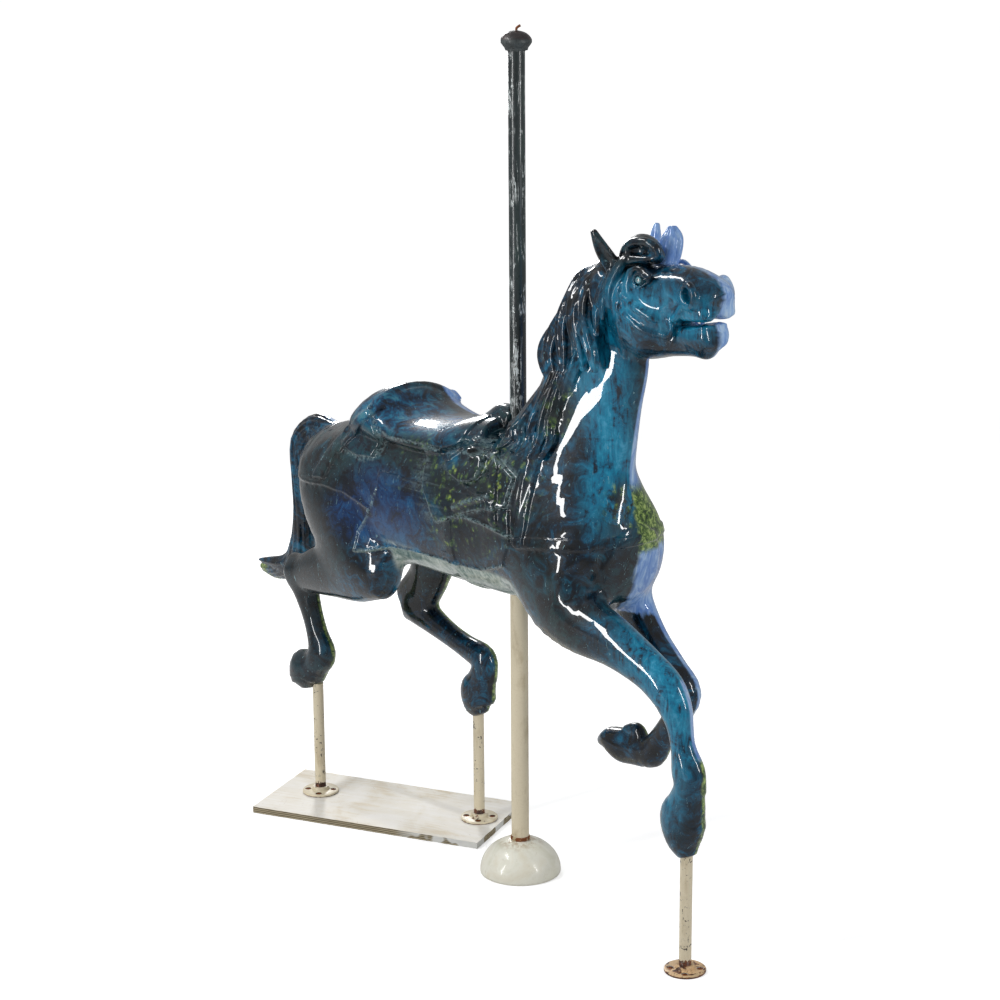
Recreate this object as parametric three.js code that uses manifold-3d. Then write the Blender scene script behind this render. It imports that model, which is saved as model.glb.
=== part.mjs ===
// A carousel horse on its pole, with the floor rods and the board that hold it up.
// Millimetres. +X is the horse's forward, +Y its left, +Z up. The origin is on the floor,
// on the pole's axis. Right-hand parts are at -Y.
import * as THREE from "three";
import { mergeVertices } from "three/addons/utils/BufferGeometryUtils.js";
import Module from "manifold-3d";

const wasm = await Module();
wasm.setup();

// ---- Driving dimensions -------------------------------------------------------------
const CLEARANCE = 0.3;
const ROUND_SIDES = 16;

const POLE = { upperRadius: 18.7, lowerRadius: 20.5, foot: 22, joint: 900, top: 1900, sides: 20 };
const DOME = { radius: 94.5, height: 80, lip: 6, arcs: 6 };
const COLLAR = { radius: 23.5, height: 9, wall: 1 };
const FINIAL = { radius: 34.5, height: 42, drop: 6, lip: 2 };
const PIN = { radius: 2.8, height: 10, lean: 8 };
const BOARD = { length: 609, width: 279, thickness: 16, x: -498.5, y: -8.5, turn: 26.7 };
const ROD = { radius: 13.35 };
const FLANGE = {
  radius: 45, thickness: 6, edge: 1.5, hubRadius: 21, hubHeight: 15, fillet: 2.5,
  holes: 4, holeRadius: 3.6, holeCircle: 32,
};

// Each rod stands under one hoof: its place, the height of its flange's seat and of its top.
const RODS = [
  { name: "hind_right", x: -681, y: -81, seat: BOARD.thickness, top: 305 },
  { name: "hind_left", x: -281, y: 107, seat: BOARD.thickness, top: 300 },
  { name: "front_right", x: 636, y: -81, seat: 0, top: 280 },
];

const COLOURS = {
  paint: 0x1d4a5e, charcoal: 0x20302f, cream: 0xe6dcc0, rust: 0x7a4a2c, wood: 0xd9cdb4,
};

// ---- Solids -------------------------------------------------------------------------
const toSolid = (geometry) => {
  geometry.deleteAttribute("normal");
  geometry.deleteAttribute("uv");
  const merged = mergeVertices(geometry, 1e-3);
  return new wasm.Manifold(new wasm.Mesh({
    numProp: 3,
    vertProperties: new Float32Array(merged.attributes.position.array),
    triVerts: new Uint32Array(merged.index.array),
  }));
};

const toGeometry = (solid) => {
  const mesh = solid.getMesh();
  const geometry = new THREE.BufferGeometry();
  geometry.setAttribute("position", new THREE.BufferAttribute(mesh.vertProperties, 3));
  geometry.setIndex(new THREE.BufferAttribute(mesh.triVerts, 1));
  return geometry;
};

const join = (solids) => solids.reduce((whole, next) => whole.add(next));

// A cylinder that stands upright between two heights.
const upright = (radius, bottom, top, x = 0, y = 0, sides = ROUND_SIDES) => {
  const geometry = new THREE.CylinderGeometry(radius, radius, top - bottom, sides);
  geometry.rotateX(Math.PI / 2);
  return geometry.translate(x, y, (bottom + top) / 2);
};

const poleGeometry = (radius, bottom, top) => upright(radius, bottom, top, 0, 0, POLE.sides);

// A turned shape: its profile runs from the axis to the axis, as [radius, height].
const turned = (profile, sides = ROUND_SIDES) => {
  const points = profile.map(([radius, height]) => new THREE.Vector2(radius, height));
  return new THREE.LatheGeometry(points, sides).rotateX(Math.PI / 2);
};

const catmull = (values, t) => {
  const last = values.length - 1;
  const i = Math.min(Math.floor(t), last - 1);
  const u = t - i;
  const at = (k) => values[Math.min(Math.max(k, 0), last)];
  const [a, b, c, d] = [at(i - 1), at(i), at(i + 1), at(i + 2)];
  return b + 0.5 * u * (c - a + u * (2 * a - 5 * b + 4 * c - d + u * (3 * (b - c) + d - a)));
};

// A body swept through stations [x, y, z, halfWidth, halfDepth]. The width lies across the
// horse and the depth square to it and to the path. `egg` narrows the section towards its
// +depth side, `box` squares it and `flute` cuts grooves along it. Both ends are domed.
const body = (stations, options = {}) => {
  const { sides = 12, steps = 2, egg = 0, box = 2, flute = 0, dome = 0.5 } = options;
  const column = (k) => stations.map((station) => station[k]);
  const sample = (t) => [0, 1, 2, 3, 4].map((k) => catmull(column(k), t));
  const spans = stations.length - 1;
  const rings = [];
  for (let r = 0; r <= spans * steps; r += 1) {
    const t = r / steps;
    const [x, y, z, wide, deep] = sample(t);
    const ahead = new THREE.Vector3(...sample(Math.min(t + 0.05, spans)).slice(0, 3));
    const behind = new THREE.Vector3(...sample(Math.max(t - 0.05, 0)).slice(0, 3));
    const along = ahead.sub(behind).normalize();
    const across = new THREE.Vector3(0, 1, 0).addScaledVector(along, -along.y).normalize();
    const over = along.clone().cross(across);
    rings.push({ centre: new THREE.Vector3(x, y, z), along, across, over, wide, deep });
  }
  const positions = [];
  const index = [];
  const point = ({ centre, across, over, wide, deep }, s) => {
    const angle = (2 * Math.PI * s) / sides;
    const round = (value) => Math.sign(value) * Math.abs(value) ** (2 / box);
    const ridge = s % 2 ? 1 : 1 - flute;
    const u = ridge * round(Math.cos(angle)) * wide * (1 - egg * Math.sin(angle));
    const v = ridge * round(Math.sin(angle)) * deep;
    return centre.clone().addScaledVector(across, u).addScaledVector(over, v);
  };
  for (const ring of rings) {
    for (let s = 0; s < sides; s += 1) positions.push(...point(ring, s).toArray());
  }
  for (let r = 0; r < rings.length - 1; r += 1) {
    for (let s = 0; s < sides; s += 1) {
      const [a, b] = [r * sides + s, r * sides + ((s + 1) % sides)];
      index.push(a, b, b + sides, a, b + sides, a + sides);
    }
  }
  const cap = (ring, first, outward) => {
    const reach = outward * dome * Math.min(ring.wide, ring.deep);
    const tip = positions.length / 3;
    positions.push(...ring.centre.clone().addScaledVector(ring.along, reach).toArray());
    for (let s = 0; s < sides; s += 1) {
      const [a, b] = [first + s, first + ((s + 1) % sides)];
      index.push(...(outward > 0 ? [a, b, tip] : [b, a, tip]));
    }
  };
  cap(rings[0], 0, -1);
  cap(rings[rings.length - 1], (rings.length - 1) * sides, 1);
  const geometry = new THREE.BufferGeometry();
  geometry.setAttribute("position", new THREE.Float32BufferAttribute(positions, 3));
  geometry.setIndex(index);
  return toSolid(geometry);
};

// ---- The horse's stations -----------------------------------------------------------
const TORSO = [
  [-735, 0, 828, 78, 88], [-650, 0, 842, 128, 120], [-540, 0, 846, 150, 152],
  [-440, 0, 858, 156, 168], [-300, 0, 852, 158, 168], [-120, 0, 856, 158, 172],
  [40, 0, 866, 156, 180], [160, 0, 880, 148, 182],
];
const CHEST = [
  [80, 0, 880, 150, 178], [200, 0, 866, 152, 174], [290, 0, 844, 146, 150],
  [340, 0, 830, 128, 130], [366, 0, 828, 86, 92],
];
const NECK = [
  [150, 0, 900, 128, 176], [196, 0, 1010, 104, 166], [232, 0, 1110, 84, 144],
  [260, 0, 1200, 70, 133], [284, 0, 1290, 62, 131], [304, 0, 1372, 56, 104],
  [344, 0, 1425, 54, 76],
];
const SKULL = [
  [318, 0, 1420, 44, 46], [362, 0, 1406, 62, 82], [415, 0, 1391, 68, 100],
  [468, 0, 1403, 64, 93], [515, 0, 1427, 56, 68], [555, 0, 1438, 48, 54],
  [595, 0, 1436, 48, 49], [618, 0, 1430, 45, 42], [631, 0, 1427, 32, 28],
];
const JAW = [
  [438, 0, 1337, 50, 50], [500, 0, 1337, 40, 36], [555, 0, 1342, 32, 33],
  [590, 0, 1348, 31, 40], [611, 0, 1353, 22, 28],
];
const CREST = [
  [60, 0, 1086, 24, 26], [106, 0, 1156, 26, 28], [136, 0, 1210, 28, 30],
  [138, 0, 1256, 30, 34], [160, 0, 1300, 30, 34], [196, 0, 1344, 30, 32],
  [236, 0, 1396, 28, 30], [268, 0, 1438, 26, 28], [308, 0, 1460, 24, 24],
];
const TAIL = [
  [-690, 0, 922, 32, 30], [-764, 0, 927, 34, 37], [-814, 0, 882, 43, 40],
  [-816, 0, 790, 42, 37], [-816, 0, 690, 42, 34], [-844, 4, 604, 40, 39],
  [-905, 10, 544, 30, 34], [-985, 16, 514, 22, 26], [-1055, 18, 505, 8, 11],
];
const FORE_RIGHT = [
  [205, -95, 850, 50, 120], [243, -104, 762, 52, 102], [314, -107, 715, 50, 76],
  [420, -98, 688, 42, 58], [515, -88, 650, 37, 46], [572, -83, 615, 36, 44],
  [600, -82, 578, 31, 39], [612, -81, 542, 26, 31], [622, -81, 500, 25, 28], [638, -81, 452, 30, 41],
  [649, -81, 408, 28, 34],
];
const FORE_RIGHT_HOOF = [
  [643, -81, 420, 29, 34], [635, -81, 380, 33, 46], [624, -81, 340, 38, 58],
  [628, -81, 296, 34, 44], [638, -81, 266, 20, 24],
];
const FORE_LEFT = [
  [200, 95, 822, 52, 104], [240, 100, 742, 46, 66], [284, 100, 684, 38, 48],
  [338, 99, 628, 33, 38], [398, 98, 576, 33, 36], [440, 98, 530, 34, 39],
  [414, 98, 470, 25, 30], [374, 98, 412, 25, 29], [340, 98, 368, 29, 36],
  [300, 98, 362, 28, 33],
];
const FORE_LEFT_HOOF = [
  [310, 98, 362, 28, 38], [276, 98, 358, 30, 38], [244, 98, 357, 34, 40],
  [206, 98, 360, 30, 28], [176, 98, 350, 16, 14],
];
const FORE_LEFT_TUFT = [[306, 98, 390, 16, 16], [290, 98, 403, 16, 18], [258, 98, 394, 14, 14]];
const THIGH_RIGHT = [
  [-610, -70, 880, 60, 90], [-560, -92, 810, 66, 130], [-470, -110, 736, 62, 116],
  [-385, -122, 690, 54, 86], [-332, -124, 674, 40, 58],
];
const GASKIN_RIGHT = [
  [-352, -122, 668, 46, 58], [-430, -118, 662, 52, 80], [-520, -110, 648, 50, 82],
  [-610, -102, 618, 44, 65], [-690, -94, 593, 36, 50], [-745, -90, 586, 32, 44],
];
const CANNON_RIGHT = [
  [-744, -90, 592, 32, 46], [-712, -88, 540, 28, 38], [-689, -87, 486, 24, 30],
  [-670, -86, 436, 25, 30], [-654, -86, 392, 30, 42], [-668, -86, 362, 30, 34],
];
const HIND_RIGHT_HOOF = [
  [-656, -86, 386, 29, 34], [-682, -86, 354, 32, 42], [-716, -86, 326, 36, 60],
  [-714, -86, 308, 32, 50], [-694, -86, 294, 20, 28],
];
const THIGH_LEFT = [
  [-600, 70, 880, 60, 90], [-540, 92, 800, 66, 110], [-474, 106, 730, 62, 92],
  [-456, 110, 668, 50, 78], [-466, 108, 596, 42, 58], [-530, 107, 511, 35, 62],
];
const CANNON_LEFT = [
  [-522, 107, 514, 35, 56], [-460, 107, 486, 28, 38], [-388, 107, 463, 23, 30],
  [-320, 107, 446, 24, 30], [-260, 107, 430, 29, 36], [-258, 107, 386, 28, 35],
];
const HIND_LEFT_HOOF = [
  [-256, 107, 404, 28, 34], [-268, 107, 372, 32, 42], [-280, 107, 342, 36, 53],
  [-280, 107, 310, 32, 42], [-272, 107, 292, 20, 24],
];
const SEAT = [
  [-494, 0, 1000, 98, 44], [-452, 0, 1015, 119, 51], [-404, 0, 1026, 130, 66],
  [-350, 0, 1014, 132, 47], [-270, 0, 1004, 130, 36], [-180, 0, 1006, 126, 40],
  [-100, 0, 1024, 118, 48], [-20, 0, 1043, 96, 48],
];
const POMMEL = [[-84, 0, 1062, 26, 25], [-48, 0, 1083, 30, 27], [-8, 0, 1082, 32, 26]];

// Outlines of what lies raised on the trunk, seen from the side as [x, z].
const BLANKET_RIM = [
  [-410, 1120], [-462, 1044], [-528, 960], [-578, 866], [-522, 872], [-500, 915], [-452, 985], [-366, 1060],
];
const BREECHING = [[-780, 812], [-600, 818], [-426, 852], [-426, 900], [-600, 868], [-780, 856]];
const FLAP = [
  [-220, 1020], [-156, 935], [-94, 854], [-10, 890], [150, 934], [150, 1000], [90, 1100], [-180, 1060],
];
const INNER_FLAP = [[-150, 1030], [-96, 940], [24, 922], [104, 954], [112, 1010], [60, 1090], [-120, 1080]];
const SHOULDER_STRAP = [[166, 1080], [172, 856], [204, 856], [196, 1080]];
const BREAST_STRAP = [[180, 846], [250, 862], [420, 868], [420, 898], [250, 892], [180, 876]];

// The mane's locks, each from the crest down the neck's side, as [x, outward, z].
const LOCKS = [
  [[325, 35, 1450], [315, 58, 1400], [315, 70, 1340], [330, 74, 1260]],
  [[290, 25, 1445], [278, 58, 1385], [262, 68, 1310], [284, 78, 1240]],
  [[236, 12, 1445], [237, 50, 1378], [218, 66, 1290], [250, 80, 1210]],
  [[205, 8, 1396], [196, 50, 1318], [190, 68, 1235], [226, 90, 1155]],
  [[166, 8, 1342], [156, 42, 1267], [171, 70, 1186], [207, 102, 1088], [207, 124, 1005]],
  [[134, 4, 1296], [136, 30, 1239], [150, 66, 1158], [162, 104, 1078], [190, 128, 1018]],
  [[120, 4, 1252], [124, 24, 1200], [116, 60, 1128], [120, 102, 1068], [132, 128, 1020]],
  [[104, 4, 1194], [98, 30, 1141], [96, 66, 1100], [108, 108, 1056]],
];
const LOCK = { thick: 15, broad: 22 };

const STRAP = 5;
const BRIDLE_CHEEK = [[384, 62, 1455], [404, 65, 1400], [446, 66, 1360], [504, 54, 1344], [552, 42, 1350]];
const BRIDLE_THROAT = [[376, 60, 1430], [392, 66, 1372], [410, 62, 1310]];

// ---- The horse's forms --------------------------------------------------------------
const grown = (stations, by) => stations.map(([x, y, z, wide, deep]) => [x, y, z, wide + by, deep + by]);

const trunk = (by = 0) => body(grown(TORSO, by), { sides: 18, steps: 1, box: 2.3, dome: 0.25 })
  .add(body(grown(CHEST, by), { sides: 18, steps: 1, box: 2.2, egg: 0.16, dome: 0.25 }));

const raised = (outline, thickness) => {
  const shape = new THREE.Shape(outline.map(([x, z]) => new THREE.Vector2(x, z)));
  const slab = new THREE.ExtrudeGeometry(shape, { depth: 400, bevelEnabled: false });
  slab.rotateX(Math.PI / 2);
  return trunk(thickness).intersect(toSolid(slab.translate(0, 200, 0)));
};

// A lock swells below its root and ends in a point.
const lock = (path, side) => {
  const stations = path.map(([x, outward, z], k) => {
    const fullness = 0.35 + 0.65 * Math.sin((Math.PI * (k + 0.6)) / path.length);
    return [x, side * outward, z, LOCK.thick * fullness, LOCK.broad * fullness];
  });
  return body(stations, { sides: 6, steps: 1 });
};

const mane = () => join([
  body(CREST, { sides: 8, steps: 1 }),
  ...LOCKS.map((path) => lock(path, -1)),
  ...LOCKS.filter((path, k) => k % 2).map((path) => lock(path, 1)),
]);

const cord = (path, side) => (
  body(path.map(([x, y, z]) => [x, side * y, z, STRAP, STRAP + 2]), { sides: 6, steps: 1 })
);

// The left ear leans further forward than the right one.
const ear = (side) => {
  const lean = side > 0 ? 20 : 0;
  return body([
    [380, side * 42, 1455, 14, 18], [364 + lean * 0.4, side * 54, 1482, 15, 20],
    [349 + lean * 0.8, side * 68, 1514, 12, 18], [336 + lean, side * 80, 1551, 4, 6],
  ], { sides: 6, steps: 1 });
};

const forelock = () => join([
  body([
    [372, -6, 1466, 24, 18], [390, -14, 1498, 30, 24], [418, -20, 1520, 30, 27],
    [450, -22, 1517, 26, 22], [472, -20, 1502, 16, 14],
  ], { sides: 8, steps: 1 }),
  body([
    [444, 22, 1476, 22, 26], [450, 30, 1508, 24, 28], [452, 36, 1538, 22, 25], [450, 38, 1557, 12, 12],
  ], { sides: 8, steps: 1 }),
]);

const head = () => join([
  body(SKULL, { sides: 12, steps: 1, egg: -0.1 }),
  body(JAW, { sides: 10, steps: 1 }),
  ...[-1, 1].flatMap((side) => [
    ear(side),
    cord(BRIDLE_CHEEK, side),
    cord(BRIDLE_THROAT, side),
    body([[438, side * 56, 1464, 14, 15], [468, side * 56, 1462, 14, 15]], { sides: 8, steps: 1 }),
    body([[584, side * 34, 1452, 16, 18], [612, side * 36, 1446, 15, 18]], { sides: 8, steps: 1 }),
  ]),
  forelock(),
]);

const leg = (stations, sides = 10, steps = 1) => body(stations, { sides, steps });
const hoof = (stations) => body(stations, { sides: 10, steps: 1, dome: 0.3 });

const legs = () => [
  ...[FORE_RIGHT, FORE_LEFT, GASKIN_RIGHT].map((stations) => leg(stations)),
  ...[CANNON_RIGHT, CANNON_LEFT, THIGH_RIGHT, THIGH_LEFT].map((stations) => leg(stations, 10, 2)),
  ...[FORE_RIGHT_HOOF, FORE_LEFT_HOOF, HIND_RIGHT_HOOF, HIND_LEFT_HOOF].map(hoof),
  body(FORE_LEFT_TUFT, { sides: 8, steps: 1 }),
];

const saddle = () => [
  body(SEAT, { sides: 14, steps: 1, dome: 0.3 }),
  body(POMMEL, { sides: 10, steps: 1 }),
  raised(BLANKET_RIM, 9),
  raised(BREECHING, 6),
  raised(FLAP, 8),
  raised(INNER_FLAP, 14),
  raised(SHOULDER_STRAP, 7),
  raised(BREAST_STRAP, 7),
];

const horseSolid = () => {
  const forms = [
    trunk(), body(NECK, { sides: 14, steps: 1, egg: -0.2 }), mane(), head(),
    body(TAIL, { sides: 14, steps: 1, flute: 0.16 }), ...legs(), ...saddle(),
  ];
  const bores = [
    poleGeometry(POLE.lowerRadius + CLEARANCE, POLE.foot, POLE.joint + CLEARANCE),
    poleGeometry(POLE.upperRadius + CLEARANCE, POLE.joint, POLE.top),
    ...RODS.map(({ x, y, seat, top }) => upright(ROD.radius + CLEARANCE, seat, top + CLEARANCE, x, y)),
  ];
  return bores.map(toSolid).reduce((solid, bore) => solid.subtract(bore), join(forms));
};

// ---- Pole, dome and finial ----------------------------------------------------------
const domeGeometry = () => {
  const { radius, height, lip, arcs } = DOME;
  const bore = POLE.lowerRadius + CLEARANCE;
  const shell = [];
  for (let k = 0; k < arcs; k += 1) {
    const angle = (k / arcs) * (Math.PI / 2);
    shell.push([radius * Math.cos(angle), lip + (height - lip) * Math.sin(angle)]);
  }
  return turned([
    [0, 0], [radius, 0], ...shell, [bore, height],
    [bore, POLE.foot - CLEARANCE], [0, POLE.foot - CLEARANCE],
  ], POLE.sides);
};

// The cap's profile, as [share of its radius, share of its height].
const CAP = [[0.72, 0], [0.8, 0.18], [1, 0.32], [1, 0.55], [0.86, 0.78], [0.5, 0.94], [0, 1]];

const finialGeometry = () => {
  const bore = POLE.upperRadius + CLEARANCE;
  const foot = POLE.top - FINIAL.drop;
  const skirt = [bore, foot - FINIAL.lip];
  return turned([
    skirt,
    ...CAP.map(([wide, high]) => [wide * FINIAL.radius, foot + high * FINIAL.height]),
    [0, POLE.top + CLEARANCE], [bore, POLE.top + CLEARANCE], skirt,
  ], POLE.sides);
};

const pinGeometry = () => {
  const base = POLE.top - FINIAL.drop + FINIAL.height + CLEARANCE;
  const bends = [[0, 0], [0, 0.3], [0.4, 0.7], [1, 1]];
  const path = new THREE.CatmullRomCurve3(bends.map(([lean, rise]) => (
    new THREE.Vector3(0.7 * PIN.lean * lean, 0.9 * PIN.lean * lean, base + PIN.height * rise)
  )));
  const section = new THREE.Shape().absarc(0, 0, PIN.radius, 0, 2 * Math.PI);
  return new THREE.ExtrudeGeometry(section, { extrudePath: path, steps: 4, curveSegments: 4 });
};

const collarGeometry = () => {
  const inner = POLE.lowerRadius + CLEARANCE;
  const bottom = DOME.height + CLEARANCE;
  const { radius, height, wall } = COLLAR;
  return turned([
    [inner, bottom], [radius, bottom], [radius, bottom + 0.7 * height],
    [inner + wall, bottom + height], [inner, bottom + height], [inner, bottom],
  ], POLE.sides);
};

// ---- Board, rods and flanges --------------------------------------------------------
const boardGeometry = () => {
  const geometry = new THREE.BoxGeometry(BOARD.length, BOARD.width, BOARD.thickness);
  geometry.rotateZ(THREE.MathUtils.degToRad(BOARD.turn));
  return geometry.translate(BOARD.x, BOARD.y, BOARD.thickness / 2);
};

const flangeGeometry = () => {
  const { radius, thickness, edge, hubRadius, hubHeight, fillet, holes, holeRadius, holeCircle } = FLANGE;
  const bore = ROD.radius + CLEARANCE;
  const disc = turned([
    [bore, 0], [radius, 0], [radius, thickness - edge], [radius - edge, thickness],
    [hubRadius + fillet, thickness], [hubRadius, thickness + fillet], [hubRadius - edge, hubHeight],
    [bore, hubHeight], [bore, 0],
  ]);
  let solid = toSolid(disc);
  for (let k = 0; k < holes; k += 1) {
    const angle = ((k + 0.5) * 2 * Math.PI) / holes;
    const [x, y] = [holeCircle * Math.cos(angle), holeCircle * Math.sin(angle)];
    const drill = upright(holeRadius, -thickness, 2 * thickness, x, y, 8);
    solid = solid.subtract(toSolid(drill));
  }
  return toGeometry(solid);
};

// ---- The object ---------------------------------------------------------------------
const object = new THREE.Group();
object.name = "carousel_horse";

const add = (name, geometry, color, roughness, metalness, height = 0, x = 0, y = 0) => {
  const material = new THREE.MeshStandardMaterial({ color, roughness, metalness });
  const mesh = new THREE.Mesh(geometry, material);
  mesh.name = name;
  mesh.position.set(x, y, height);
  object.add(mesh);
};

add("horse", toGeometry(horseSolid()), COLOURS.paint, 0.15, 0);
const upperPole = poleGeometry(POLE.upperRadius, POLE.joint + CLEARANCE, POLE.top);
const lowerPole = poleGeometry(POLE.lowerRadius, POLE.foot, POLE.joint - CLEARANCE);
add("upper_pole", upperPole, COLOURS.charcoal, 0.3, 0.2);
add("lower_pole", lowerPole, COLOURS.cream, 0.5, 0);
add("finial", finialGeometry(), COLOURS.charcoal, 0.4, 0.1);
add("finial_pin", pinGeometry(), COLOURS.rust, 0.7, 0.3);
add("pole_collar", collarGeometry(), COLOURS.rust, 0.8, 0.2);
add("dome_base", domeGeometry(), COLOURS.cream, 0.5, 0);
add("plywood_board", boardGeometry(), COLOURS.wood, 0.7, 0);

for (const { name, x, y, seat, top } of RODS) {
  const floor = seat + (seat > 0 ? CLEARANCE : 0);
  const rod = upright(ROD.radius, floor + CLEARANCE, top);
  add(`${name}_rod`, rod, COLOURS.cream, 0.6, 0, 0, x, y);
  add(`${name}_flange`, flangeGeometry(), COLOURS.cream, 0.7, 0.1, floor, x, y);
}

export default object;
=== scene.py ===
# A carousel horse on its pole, with the rods, floor flanges and board that hold it up.
# Stations and outlines are in millimetres, in the row's frame; Blender's objects are in metres.
import itertools
import math

import bpy
import numpy as np
from mathutils import Matrix, Vector


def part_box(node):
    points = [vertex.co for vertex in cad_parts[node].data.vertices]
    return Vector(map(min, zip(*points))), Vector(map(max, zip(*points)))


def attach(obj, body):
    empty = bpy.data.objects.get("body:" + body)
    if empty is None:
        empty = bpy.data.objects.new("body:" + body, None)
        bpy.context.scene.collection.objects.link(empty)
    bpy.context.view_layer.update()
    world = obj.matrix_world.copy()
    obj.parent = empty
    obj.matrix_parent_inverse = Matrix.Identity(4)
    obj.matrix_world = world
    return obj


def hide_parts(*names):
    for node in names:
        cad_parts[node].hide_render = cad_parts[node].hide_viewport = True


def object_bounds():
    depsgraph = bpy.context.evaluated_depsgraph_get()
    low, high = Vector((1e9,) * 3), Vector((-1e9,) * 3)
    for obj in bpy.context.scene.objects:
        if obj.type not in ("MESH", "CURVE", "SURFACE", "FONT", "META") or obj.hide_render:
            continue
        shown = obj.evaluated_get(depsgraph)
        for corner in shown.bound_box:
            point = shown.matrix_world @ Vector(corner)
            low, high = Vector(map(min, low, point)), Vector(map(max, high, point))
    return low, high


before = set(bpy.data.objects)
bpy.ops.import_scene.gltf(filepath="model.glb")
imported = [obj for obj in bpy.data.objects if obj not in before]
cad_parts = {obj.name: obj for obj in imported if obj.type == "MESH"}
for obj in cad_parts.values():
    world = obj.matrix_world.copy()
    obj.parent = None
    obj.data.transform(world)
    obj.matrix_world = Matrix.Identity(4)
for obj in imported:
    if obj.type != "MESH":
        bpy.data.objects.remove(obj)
cad_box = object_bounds()

MM = 0.001
FAR = 1e3
GRID = 3.0
HORSE_TRIANGLES = 190_000

# ---- The horse's stations: [x, y, z, half width, half depth] ------------------------
TORSO = [
    [-735, 0, 828, 78, 88], [-650, 0, 842, 128, 120], [-540, 0, 846, 150, 152],
    [-440, 0, 858, 156, 168], [-300, 0, 852, 158, 168], [-120, 0, 856, 158, 172],
    [40, 0, 866, 156, 180], [160, 0, 880, 148, 182],
]
CHEST = [
    [80, 0, 880, 150, 178], [200, 0, 866, 152, 174], [290, 0, 844, 146, 150],
    [340, 0, 832, 128, 130], [366, 0, 826, 86, 92],
]
NECK = [
    [150, 0, 900, 128, 176], [196, 0, 1010, 104, 166], [232, 0, 1110, 84, 144],
    [260, 0, 1200, 70, 133], [284, 0, 1290, 62, 131], [304, 0, 1372, 56, 104],
    [344, 0, 1425, 54, 76],
]
SKULL = [
    [318, 0, 1420, 44, 46], [362, 0, 1406, 62, 82], [415, 0, 1391, 68, 100],
    [468, 0, 1403, 64, 93], [515, 0, 1427, 56, 68], [555, 0, 1438, 48, 54],
    [592, 0, 1433, 50, 48], [609, 0, 1426, 50, 44], [618, 0, 1421, 44, 38],
]
JAW = [
    [438, 0, 1337, 50, 50], [500, 0, 1337, 40, 36], [555, 0, 1342, 32, 33],
    [590, 0, 1348, 31, 40], [611, 0, 1353, 22, 28],
]
CREST = [
    [60, 0, 1086, 24, 26], [106, 0, 1156, 26, 28], [136, 0, 1210, 28, 30],
    [138, 0, 1256, 30, 34], [160, 0, 1300, 30, 34], [196, 0, 1344, 30, 32],
    [236, 0, 1396, 28, 30], [268, 0, 1438, 26, 28], [308, 0, 1460, 24, 24],
]
TAIL = [
    [-690, 0, 922, 32, 30], [-764, 0, 927, 34, 37], [-814, 0, 882, 43, 40],
    [-816, 0, 790, 42, 37], [-816, 0, 690, 42, 34], [-844, 4, 604, 40, 39],
    [-905, 10, 544, 30, 34], [-985, 16, 514, 22, 26], [-1055, 18, 505, 8, 11],
]
FORE_RIGHT = [
    [205, -95, 850, 50, 120], [243, -104, 762, 52, 102], [314, -107, 715, 50, 76],
    [420, -98, 688, 42, 58], [515, -88, 650, 37, 46], [572, -83, 615, 36, 44],
    [600, -82, 578, 31, 39], [612, -81, 542, 26, 31], [622, -81, 500, 25, 28],
    [638, -81, 452, 30, 41], [649, -81, 408, 28, 34],
]
FORE_RIGHT_HOOF = [
    [643, -81, 420, 29, 34], [635, -81, 380, 33, 46], [624, -81, 340, 38, 58],
    [628, -81, 296, 34, 44], [638, -81, 266, 20, 24],
]
FORE_LEFT = [
    [200, 95, 822, 52, 104], [240, 100, 742, 46, 66], [284, 100, 684, 38, 48],
    [338, 99, 628, 33, 38], [398, 98, 576, 33, 36], [440, 98, 530, 34, 39],
    [414, 98, 470, 25, 30], [374, 98, 412, 25, 29], [340, 98, 368, 29, 36],
    [300, 98, 362, 28, 33],
]
FORE_LEFT_HOOF = [
    [310, 98, 362, 28, 38], [276, 98, 358, 30, 38], [244, 98, 357, 34, 40],
    [206, 98, 360, 30, 28], [176, 98, 350, 16, 14],
]
FORE_LEFT_TUFT = [[306, 98, 390, 16, 16], [290, 98, 403, 16, 18], [258, 98, 394, 14, 14]]
THIGH_RIGHT = [
    [-610, -70, 880, 60, 90], [-560, -92, 810, 66, 130], [-470, -110, 736, 62, 116],
    [-385, -122, 690, 54, 86], [-332, -124, 674, 40, 58],
]
GASKIN_RIGHT = [
    [-352, -122, 668, 46, 58], [-430, -118, 662, 52, 80], [-520, -110, 648, 50, 82],
    [-610, -102, 618, 44, 65], [-690, -94, 593, 36, 50], [-745, -90, 586, 32, 44],
]
CANNON_RIGHT = [
    [-744, -90, 592, 32, 46], [-712, -88, 540, 28, 38], [-689, -87, 486, 24, 30],
    [-670, -86, 436, 25, 30], [-654, -86, 392, 30, 42], [-668, -86, 362, 30, 34],
]
BREAST_FILL = {"at": (338, -96, 834), "radii": (24, 18, 26)}
HIND_RIGHT_HOOF = [
    [-656, -86, 386, 29, 34], [-682, -86, 354, 32, 42], [-716, -86, 326, 36, 60],
    [-712, -86, 306, 32, 50], [-708, -86, 292, 22, 30],
]
THIGH_LEFT = [
    [-600, 70, 880, 60, 90], [-540, 92, 800, 66, 110], [-474, 106, 730, 62, 92],
    [-456, 110, 668, 50, 78], [-466, 108, 596, 42, 58], [-530, 107, 511, 35, 62],
]
CANNON_LEFT = [
    [-522, 107, 514, 35, 56], [-460, 107, 486, 28, 38], [-388, 107, 463, 23, 30],
    [-320, 107, 446, 24, 30], [-260, 107, 430, 29, 36], [-258, 107, 386, 28, 35],
]
HIND_LEFT_HOOF = [
    [-256, 107, 404, 28, 34], [-268, 107, 372, 32, 42], [-280, 107, 342, 36, 53],
    [-280, 107, 310, 32, 42], [-272, 107, 292, 20, 24],
]
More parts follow.
